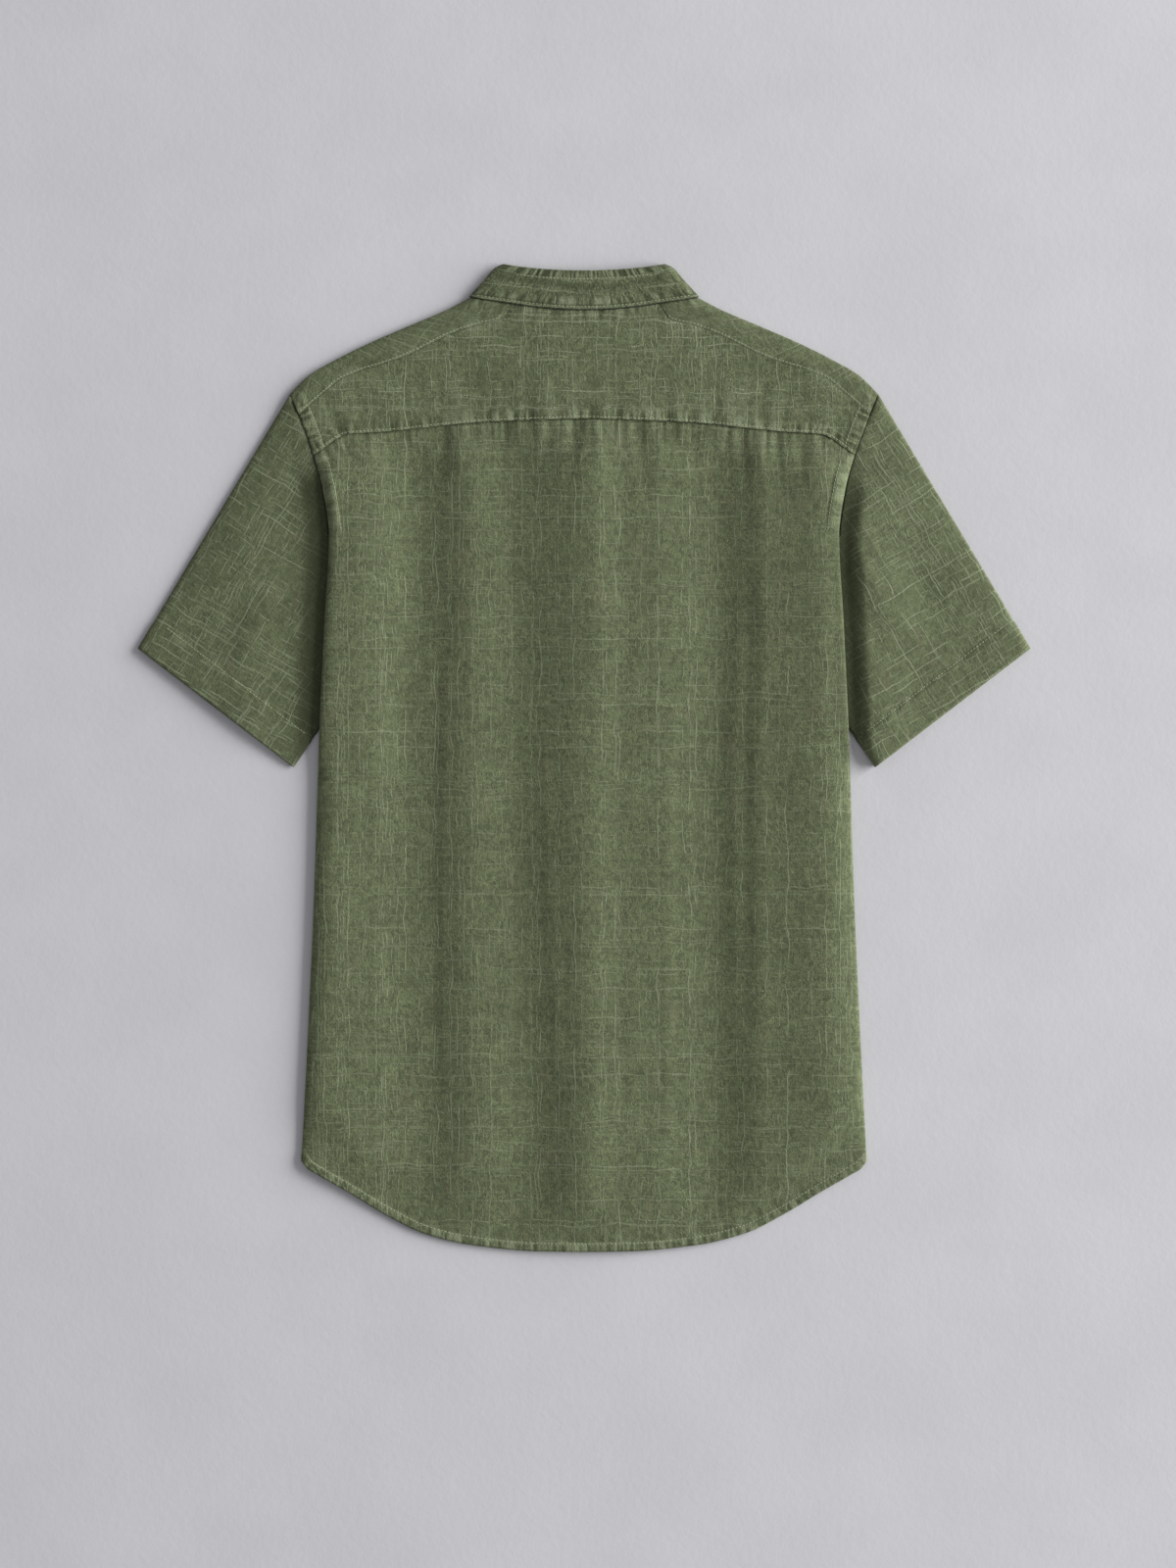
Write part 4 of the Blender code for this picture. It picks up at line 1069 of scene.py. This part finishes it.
def sleeve_patch(side, seed):
    """A sleeve's grid with its creases, cuff hem and seams, as it lies on the right."""
    points, reach, share, layer, free = sleeve_grid(seam_ring, VALLEY[side])
    # grain runs along the outer fold; the cut opens out flat at the underarm
    from_outer = points[..., :2] - outer_end
    cut = np.stack([(from_outer @ across_way) * layer, from_outer @ fold_way], axis=-1)
    on_top = layer > 0
    from_cuff, along = beside_line(points, cuff_line)
    height, wear_and_shade = puckered(np.abs(from_cuff - CUFF_HEM), along + 400 * on_top, 0.16, 9, 6.0, seed)
    hem = ease((CUFF_HEM - from_cuff) / 0.9)
    height = height + stitch_groove(from_cuff - CUFF_HEM, 0.32, 1.2) + 0.28 * hem
    # wear and painted shade: puckers paler on their ridges and darker in their dips, darker in the
    # dip beside the hem's stitching, paler along the cuff's folded edge
    wear_and_shade = (0.35 * wear_and_shade - 0.35 * hump(from_cuff - CUFF_HEM + 1.4, 1.2)
            + 0.5 * hump(from_cuff - 0.8, 1.5))
    from_body, along = beside_line(points, armhole_line)
    arm_pucker, arm_wear_and_shade = puckered(from_body, along, 0.22, 12, 6.5, seed + 9)
    above_valley = ease((points[..., 1] - 215) / 30)
    height = height + arm_pucker * above_valley - 0.5 * hump(from_body, 1.8) * above_valley
    for at_armhole, at_cuff, half, rise_mm, length in SLEEVE_CREASES:
        sway = 0.02 * uneven(reach * SLEEVE_LENGTH, 60, seed + half)
        middle = mix(at_armhole, at_cuff, reach) + sway
        window = ease((length - reach) / 0.35) * ease(reach / 0.2)
        height = height + rise_mm * window * hump((share - middle) * SLEEVE_WIDTH, half) * free
    points[..., 2] += np.where(on_top, height, 0.25 * hem)
    # painted shade: darker along the armhole seam above the valley, and deep in the valley beside the
    # body, where the body shades the sleeve
    wear_and_shade = wear_and_shade + (0.5 * arm_wear_and_shade - 0.7 * hump(from_body, 1.4)) * above_valley
    beyond = points[..., 0] - side_x(points[..., 1])
    wear_and_shade = wear_and_shade - ease((VALLEY_PAINTED_SHADE[side] - beyond) / 12) * (1 - above_valley)
    return patch(points, cut, np.clip(wear_and_shade, -1, 1), CLOTH + 0.5 * hem)


# the left sleeve, on the side away from the light, is a darker copy of the cloth: painted shade
sleeves = {}
for side, seed, offset, dye_and_shade in (("right", 131, (203.0, 1505.0), 1.0),
                                ("left", 211, (1409.0, 271.0), 0.9)):
    material = linen(f"linen_{side}_sleeve", warp=0.95, weft=0.95, crinkle=0.9, offset=offset,
                     dye_and_shade=dye_and_shade)
    grid = sleeve_patch(side, seed)
    grid = grid if side == "right" else mirrored(grid)
    sleeves[side] = sewn_cloth(f"{side}_sleeve", [grid], material)
    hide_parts(f"sleeve_{side}")

# ---- Collar ---------------------------------------------------------------------------------
# The collar is a plain standing band of two layers, turned and edge-stitched. Laid flat, its
# back half shows above the neck seam and its front half lies beneath, ends meeting in front.
COLLAR_CLOTH = 1.8
COLLAR_END_X = 1.5
COLLAR_SIDE = [  # height up the collar's folded side, x, y
    (0, 92.5, 371.6), (0.5, 79.5, 386), (0.8, 71.5, 395), (1, 65, 398.2),
]
COLLAR_FRONT_FREE_EDGE = [  # share of the way from the centre to the side fold, x, y
    (0, 0, 319), (0.28, 22, 322), (0.5, 39, 331), (0.7, 50, 346), (0.88, 59, 370), (1, 65, 398.2),
]
COLLAR_STITCH = 6.8
COLLAR_HEIGHT = 27.0
COLLAR_TOP_Y, COLLAR_TOP_BOW = 393.3, 5.0       # free edge at the centre back, and its rise beside it


def collar_line(neckline, rise_at_buttons):
    """The collar's seam line on the right, from the centre back round to the centre front.

    Returns its points, their distance past the side fold and the last index on top."""
    half = bx.shape[1] // 2
    top = np.concatenate([yoke_plain[-1, half:half + NECK_COLUMNS],
                          strip_plain[:OUTLINE_ROW - 1:-1, 0]])
    turned = strip_plain[OUTLINE_ROW - 1::-1, 0]
    under = neckline[NECKLINE_COLUMNS - 1::-1].copy()
    under[-1] = COLLAR_END_X, curve(FRONT_NECK, COLLAR_END_X, 2)
    under = under[under[:, 0] >= COLLAR_END_X]
    under = np.column_stack([under, front_middle(under[:, 0], under[:, 1], rise_at_buttons)])
    line = np.concatenate([top, turned, under])
    run = unit(np.gradient(line[:, :2], axis=0))
    square = np.column_stack([-run[:, 1], run[:, 0]])
    square[square[:, 1] < 0] *= -1
    arc = run_along(line)
    turn = len(top) - 1
    past = arc - arc[turn]
    gap = SEAM_GAP * 1.4 + 0.6 * np.clip(1 - np.abs(past) / 12, 0, 1)
    line[:, :2] += square * gap[:, None]
    line[:, 2] += COLLAR_CLOTH / 2 - FLOOR_LAYER
    return line, past, turn, turn + len(turned)


def collar_half(neckline, rise_at_buttons):
    """Right half of the collar, its rows from the seam up to the free edge."""
    line, past, turn, under = collar_line(neckline, rise_at_buttons)
    free = line.copy()
    fold_x = COLLAR_SIDE[-1][1]
    column = np.arange(len(line))
    on_top, in_front = column <= turn, column > under
    folded = ~on_top & ~in_front
    share = line[on_top, 0] / line[turn, 0]
    free[on_top, 0] = fold_x * share
    free[on_top, 1] = COLLAR_TOP_Y + COLLAR_TOP_BOW * share ** 2
    free[on_top, 2] += 0.3
    free[folded, 0] = fold_x + line[folded, 0] - line[turn, 0]
    free[folded, 1] = COLLAR_TOP_Y + COLLAR_TOP_BOW
    share = 1 - (past[in_front] - past[under]) / (past[-1] - past[under])
    free[in_front, 0] = np.maximum(curve(COLLAR_FRONT_FREE_EDGE, share, 1), COLLAR_END_X)
    free[in_front, 1] = curve(COLLAR_FRONT_FREE_EDGE, share, 2)
    height = np.concatenate([np.linspace(0, 0.25, 8)[:-1], np.linspace(0.25, 0.7, 9)[:-1],
                             np.linspace(0.7, 1, 10)])[:, None]
    rows = mix(line[None], free[None], height[..., None])
    near = ease(1 - np.where(past < 0, -past / 33, past / 100))
    for axis in (0, 1):
        start, end = COLLAR_SIDE[0][axis + 1], COLLAR_SIDE[-1][axis + 1]
        rows[..., axis] += (curve(COLLAR_SIDE, height, axis + 1) - mix(start, end, height)) * near
    cut = np.broadcast_arrays(past[None] - past[0], height * COLLAR_HEIGHT)
    return rows, np.stack(cut, axis=-1), past


def collar_relief(rows, past):
    """Puckers and stitch dips of the collar's back half, with wear and painted shade that follow
    them.
    """
    bottom = np.linalg.norm(rows[..., :2] - rows[:1, :, :2], axis=-1)
    top = np.linalg.norm(rows[..., :2] - rows[-1:, :, :2], axis=-1)
    high, top_wear_and_shade = puckered(np.abs(top - COLLAR_STITCH / 2), past, 0.30, 5.5, 1.8, 161)
    low, low_wear_and_shade = puckered(np.abs(bottom - 6.0), past, 0.30, 5.5, 1.8, 171)
    relief = (high + low + stitch_groove(top - COLLAR_STITCH, 0.25, 1.3)
              + stitch_groove(bottom - 2.4, 0.35, 1.2))
    wear_and_shade = (1.4 * top_wear_and_shade - 0.34 * ease((COLLAR_STITCH - top) / 2) + 1.15 * low_wear_and_shade
            - 0.9 * hump(bottom - 3.0, 1.5) + 0.9 * hump(bottom - 1.4, 1.1)
            - 0.9 * hump(bottom, 0.9) + 0.35 * hump(top, 1.2)
            + 0.6 * hump(top - COLLAR_STITCH, 1.2))
    return relief, wear_and_shade


right_collar, right_cut, past = collar_half(right_top, RIGHT_FRONT_RISE)
left_collar, left_cut, _ = collar_half(left_top, LEFT_FRONT_RISE)
collar_points = joined(left_collar * MIRROR, right_collar)
collar_cut = joined(left_cut * MIRROR[:2], right_cut)
relief, collar_wear_and_shade = (joined(half, half) for half in collar_relief(right_collar, past))
past_both = np.concatenate([past[:0:-1], past])
top_side_share = ease(-past_both / 10)
# a soft crease slants across the back half, darkened along its dip with painted shade
crease_line = [(-74, 389.5), (-40, 384), (4, 378.5), (34, 381), (58, 387)]
from_crease, along = beside_line(collar_points, crease_line)
crease = hump(from_crease, 6.5) * (0.75 + 0.25 * uneven(along, 24, 180)) * top_side_share
collar_points[..., 2] += relief * np.where(past_both < 0, 1, 0.3) - 1.1 * crease
collar_wear_and_shade = np.clip(collar_wear_and_shade - 0.75 * hump(from_crease, 5.0) * top_side_share
                      * (0.6 + 0.4 * uneven(along, 17, 181)), -1, 1)
collar_material = linen("linen_collar", warp=0.6, weft=0.7, crinkle=1.7, offset=(433.0, 77.0),
                        dye_and_shade=0.9)
collar = sewn_cloth("collar", [patch(collar_points, collar_cut, collar_wear_and_shade, COLLAR_CLOTH)],
                    collar_material)
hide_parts("collar_band")

# ---- Buttons --------------------------------------------------------------------------------
# Seven four-hole buttons of dyed resin close the front. They face the surface that the shirt
# lies on, each sewn to the right front through a corded buttonhole in the left one.
BUTTON_DIAMETER, BUTTON_COUNT = 11.5, 7
BUTTON_TOP_Y, BUTTON_PITCH = 272.0, 92.0
BUTTON_HOLE, BUTTON_HOLE_APART = 1.5, 3.0
BUTTON_STEPS, HOLE_STEPS = 48, 16
BUTTON_PROFILE = [  # radius as a share of the diameter, height as a share of the thickness
    (0, 0.42), (0.26, 0.42), (0.31, 0.36), (0.35, 0.10), (0.38, 0.02), (0.43, 0), (0.475, 0.09),
    (0.5, 0.32), (0.5, 0.72), (0.485, 0.92), (0.45, 1), (0, 1),
]
RESIN = (0.078, 0.090, 0.052)
RESIN_PALE = (0.135, 0.150, 0.100)


def place_mm(tree):
    """Place on the object, in millimetres."""
    return scaled(tree, add_node(tree, "TexCoord").node.outputs["Object"], 1 / MM)


resin, tree, shader = new_material("button_resin")
place = place_mm(tree)
swirl = rise(tree, noise(tree, place, 0.16, 3.0, 1.4, 0.5, "3D"), 0.35, 0.7)
scratches = noise(tree, place, 1.8, 3.0, 0.0, 0.6, "3D")
feed(tree, shader, {"Base Color": over(tree, (*RESIN, 1), (*RESIN_PALE, 1), swirl),
                    "Roughness": rise(tree, scratches, 0.3, 0.7, 0.28, 0.42), "Coat Weight": 0.15})


def button_mesh():
    """A dished button, turned from its profile, with four holes cut through."""
    bm = bmesh.new()
    for radius, height in BUTTON_PROFILE:
        bm.verts.new((radius * BUTTON_DIAMETER * MM, 0, height * BUTTON_THICKNESS * MM))
    bm.verts.ensure_lookup_table()
    for a, b in zip(bm.verts[:-1], bm.verts[1:]):
        bm.edges.new((a, b))
    bmesh.ops.spin(bm, geom=bm.verts[:] + bm.edges[:], cent=(0, 0, 0), axis=(0, 0, 1),
                   angle=2 * np.pi, steps=BUTTON_STEPS)
    bmesh.ops.remove_doubles(bm, verts=bm.verts, dist=0.01 * MM)
    bmesh.ops.recalc_face_normals(bm, faces=bm.faces)
    body = new_object("button blank", finished_mesh("button blank", bm))
    bm = bmesh.new()
    radius = BUTTON_HOLE / 2 * MM
    for x, y in ((-0.5, -0.5), (-0.5, 0.5), (0.5, -0.5), (0.5, 0.5)):
        made = bmesh.ops.create_cone(bm, cap_ends=True, segments=HOLE_STEPS, depth=10 * MM,
                                     radius1=radius, radius2=radius)
        bmesh.ops.translate(bm, verts=made["verts"], vec=Vector((x, y, 0)) * BUTTON_HOLE_APART * MM)
    tool = new_object("button drill", finished_mesh("button drill", bm))
    cut = body.modifiers.new("holes", "BOOLEAN")
    cut.operation = "DIFFERENCE"
    cut.object = tool
    evaluated = body.evaluated_get(bpy.context.evaluated_depsgraph_get())
    mesh = bpy.data.meshes.new_from_object(evaluated)
    for made in (body, tool):
        bpy.data.objects.remove(made)
    mesh.materials.clear()
    mesh.materials.append(resin)
    mesh.shade_smooth()
    mesh.set_sharp_from_angle(angle=radians(35))
    return mesh


button_shape = button_mesh()
button_places = [BUTTON_TOP_Y - BUTTON_PITCH * k for k in range(BUTTON_COUNT)]
for k, y in enumerate(button_places):
    made = new_object(f"resin_button_{k + 1}", button_shape)
    made.location = Vector((0, y - ORIGIN[1], 0)) * MM
    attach(made, "root")
    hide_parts(f"button_{k + 1}")

# ---- Stitching ------------------------------------------------------------------------------
# Every seam is sewn with one pale olive thread: hems, cuffs, yoke, shoulders, armholes, collar
# and front edges in straight lock stitch, buttonholes in close bars, and buttons by hand.
THREAD = (0.235, 0.275, 0.165)
STITCH, STITCH_GAP = 2.5, 0.5
THREAD_WIDTH, THREAD_HEIGHT = 0.62, 0.42
BAR_RINGS = [  # share of the length, swelling, sinking into the cloth
    (0, 0.35, 1.0), (0.12, 0.85, 0.25), (0.5, 1.0, 0.0), (0.88, 0.85, 0.25), (1.0, 0.35, 1.0),
]
BAR_SIDES, BAR_DIP = 6, 0.16
STITCH_LIFT = 0.10
STITCH_STEP = 1.2               # no stitch is laid across a higher step than this
PLACKET_ROWS = (13.5, -12.5)    # x of the two rows along a front's turned edge
PLACKET_ENDS = (-386, 280)
SEAM_ROWS = (1.6, 7.2)          # beside the side seam

thread_material, tree, shader = new_material("sewing_thread")
place = place_mm(tree)
tone = rise(tree, noise(tree, place, 0.9, 2.0, 0.0, 0.5, "3D"), 0.3, 0.7, 0.82, 1.16)
twist = noise(tree, place, 3.2, 1.0, 0.0, 0.5, "3D")
bump = add_node(tree, "Bump", {"Height": twist, "Strength": 0.6, "Distance": 0.1 * MM})
feed(tree, shader, {"Base Color": scaled(tree, THREAD, tone), "Roughness": 0.62,
                    "Sheen Weight": 0.2, "Normal": bump})


def bars(name, ends, normals, width=THREAD_WIDTH, height=THREAD_HEIGHT):
    """Many short thread bars as one mesh; each goes from one end to the other, in mm."""
    start, end = ends[:, 0], ends[:, 1]
    way = unit(end - start)
    across = unit(np.cross(way, normals))
    normal = np.cross(across, way)
    ring = []
    for share, swollen, sunk in BAR_RINGS:
        middle = mix(start, end, share) - normal * sunk * BAR_DIP
        for angle in np.radians(np.arange(BAR_SIDES) * 360 / BAR_SIDES + 30):
            ring.append(middle + swollen * (across * np.cos(angle) * width / 2
                                            + normal * np.sin(angle) * height / 2))
    verts = np.stack(ring, axis=1)
    per = verts.shape[1]
    first = np.arange(len(verts))[:, None, None] * per
    around = np.arange(BAR_SIDES)
    following = (around + 1) % BAR_SIDES
    quad = np.stack([around, following, following + BAR_SIDES, around + BAR_SIDES], axis=-1)
    quads = [quad + BAR_SIDES * r for r in range(len(BAR_RINGS) - 1)]
    quads = (np.concatenate(quads) + first).reshape(-1, 4)
    caps = (np.array([around[::-1], around + per - BAR_SIDES]) + first).reshape(-1, BAR_SIDES)
    metres = (verts.reshape(-1, 3) - ORIGIN) * MM
    mesh = bpy.data.meshes.new(name)
    mesh.from_pydata(metres.tolist(), [], quads.tolist() + caps.tolist())
    mesh.materials.append(thread_material)
    mesh.shade_smooth()
    piece = new_object(name, mesh)
    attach(piece, "root")


def surface_of(piece):
    return BVHTree.FromObject(piece, bpy.context.evaluated_depsgraph_get())


def stitched(name, surface, lines, seen_from=1):
    """Rows of stitches along lines drawn in plan, laid on a piece's top or its underside."""
    ends, normals = [], []

    def found(x, y):
        """The surface's point and normal above or below a place in plan."""
        begin = Vector((x, y - ORIGIN[1], 60.0 * seen_from)) * MM
        return surface.ray_cast(begin, Vector((0, 0, -seen_from)))[:2]

    for line in lines:
        line = np.asarray(line, float)
        arc = run_along(line)
        starts = np.arange(0, arc[-1] - STITCH, STITCH + STITCH_GAP)
        pairs = [[found(*place) for place in
                  zip(np.interp(at, arc, line[:, 0]), np.interp(at, arc, line[:, 1]))]
                 for at in (starts, starts + STITCH)]
        for (a, normal), (b, _) in zip(*pairs):
            if a is None or b is None or abs(a.z - b.z) > STITCH_STEP * MM:
                continue
            normal = np.array(normal) * (-1 if normal.z * seen_from < 0 else 1)
            ends.append([np.array(p) / MM + ORIGIN + normal * STITCH_LIFT for p in (a, b)])
            normals.append(normal)
    bars(name, np.array(ends), np.array(normals))


def beside(line, distance):
    """A line moved sideways, to its left when the distance is positive."""
    line = np.asarray(line, float)
    run = unit(np.gradient(line, axis=0))
    return line + np.column_stack([-run[:, 1], run[:, 0]]) * distance


back_skin, yoke_skin, collar_skin = surface_of(back), surface_of(yoke), surface_of(collar)
stitched("stitches_back_hem", back_skin, [beside(hem_line, HEM_DEPTH)])
stitched("stitches_yoke", yoke_skin, [beside(yoke_line, 1.9)])
armhole_row = beside(resampled(armhole_line, 4.0), ARMHOLE_BAND)
for name, skin, lowest, highest in (("back", back_skin, UNDERARM_Y + 4, SEAM_Y - 2),
                                    ("yoke", yoke_skin, SEAM_Y + 4, 284)):
    row = armhole_row[(armhole_row[:, 1] > lowest) & (armhole_row[:, 1] < highest)]
    stitched(f"stitches_armholes_{name}", skin, [row, row * MIRROR[:2]])

# the cuffs, fronts and collar are sewn right round, so their rows also show from below
cuff_row = beside(resampled(cuff_line, 4.0)[2:-2], -CUFF_HEM)
front_armhole = [(curve(FRONT_ARMHOLE, y), y) for y in np.linspace(ARMPIT_Y + 4, 280, 60)]
seam_y = np.linspace(SIDE_HEM_Y + 10, ARMPIT_Y - 4, 80)
side_seam = np.column_stack([side_x(seam_y) - curve(SIDE_TUCK, seam_y), seam_y])
placket_y = np.linspace(*PLACKET_ENDS, 200)
front_rows = [beside(resampled(front_hem, 4.0), HEM_DEPTH), beside(front_armhole, ARMHOLE_BAND)]
front_rows += [beside(side_seam, distance) for distance in SEAM_ROWS]
front_rows += [np.column_stack([np.full(200, x), placket_y]) for x in PLACKET_ROWS]
for side, front, flip in (("right", right_front, np.ones(2)), ("left", left_front, MIRROR[:2])):
    skin, cuff_skin = surface_of(front), surface_of(sleeves[side])
    stitched(f"stitches_cuff_{side}", cuff_skin, [cuff_row * flip])
    stitched(f"stitches_cuff_{side}_below", cuff_skin, [cuff_row * flip], seen_from=-1)
    stitched(f"stitches_shoulder_{side}", skin, [beside(shoulder_line[4:], 1.7) * flip])
    stitched(f"stitches_front_{side}", skin, [row * flip for row in front_rows], seen_from=-1)


def collar_rows(columns, trim_free, trim_seam):
    """The free edge and the seam of some columns of the collar, shortened at their ends."""
    free, seam = (resampled(collar_points[row, columns, :2], 3.0) for row in (-1, 0))
    return free[trim_free:-trim_free], seam[trim_seam:-trim_seam]


free_row, seam_row = collar_rows(past_both < -1.5, 3, 1)
stitched("stitches_collar", collar_skin, [beside(free_row, -COLLAR_STITCH), beside(seam_row, 2.4)])
column_side = np.arange(len(past_both)) - len(past) + 1
for name, on_side in (("left", column_side < 0), ("right", column_side > 0)):
    free_row, seam_row = collar_rows(on_side & (past_both > 12), 4, 4)
    stitched(f"stitches_collar_below_{name}", collar_skin,
             [beside(free_row, 4.0), beside(seam_row, -2.4)], seen_from=-1)

# buttonholes: close bars along both sides of each slit in the left front; threads in the holes
HOLE_LENGTH, HOLE_HALF_GAP = 15.0, 0.25
BAR, BAR_PITCH = 1.7, 0.5
STRANDS, STRAND_Z = (-0.35, 0.0, 0.35), 0.78
slit_ends, cross_ends = [], []
bar_z = front_middle(1, np.array(button_places), LEFT_FRONT_RISE) - CLOTH / 2 - STITCH_LIFT
apart = BUTTON_HOLE_APART / 2
for y, z in zip(button_places, bar_z):
    for at in np.arange(-HOLE_LENGTH / 2, HOLE_LENGTH / 2, BAR_PITCH):
        for way in (-1, 1):
            slit_ends.append([(way * x, y + at, z) for x in (HOLE_HALF_GAP, HOLE_HALF_GAP + BAR)])
    for strand in STRANDS:
        for slope in (-1, 1):
            cross_ends.append([(strand + x, y + x * slope, STRAND_Z) for x in (-apart, apart)])
for name, ends in (("buttonhole_bars", slit_ends), ("button_threads", cross_ends)):
    downwards = np.tile([0.0, 0.0, -1.0], (len(ends), 1))
    bars(name, np.array(ends), downwards, width=0.5, height=0.4)
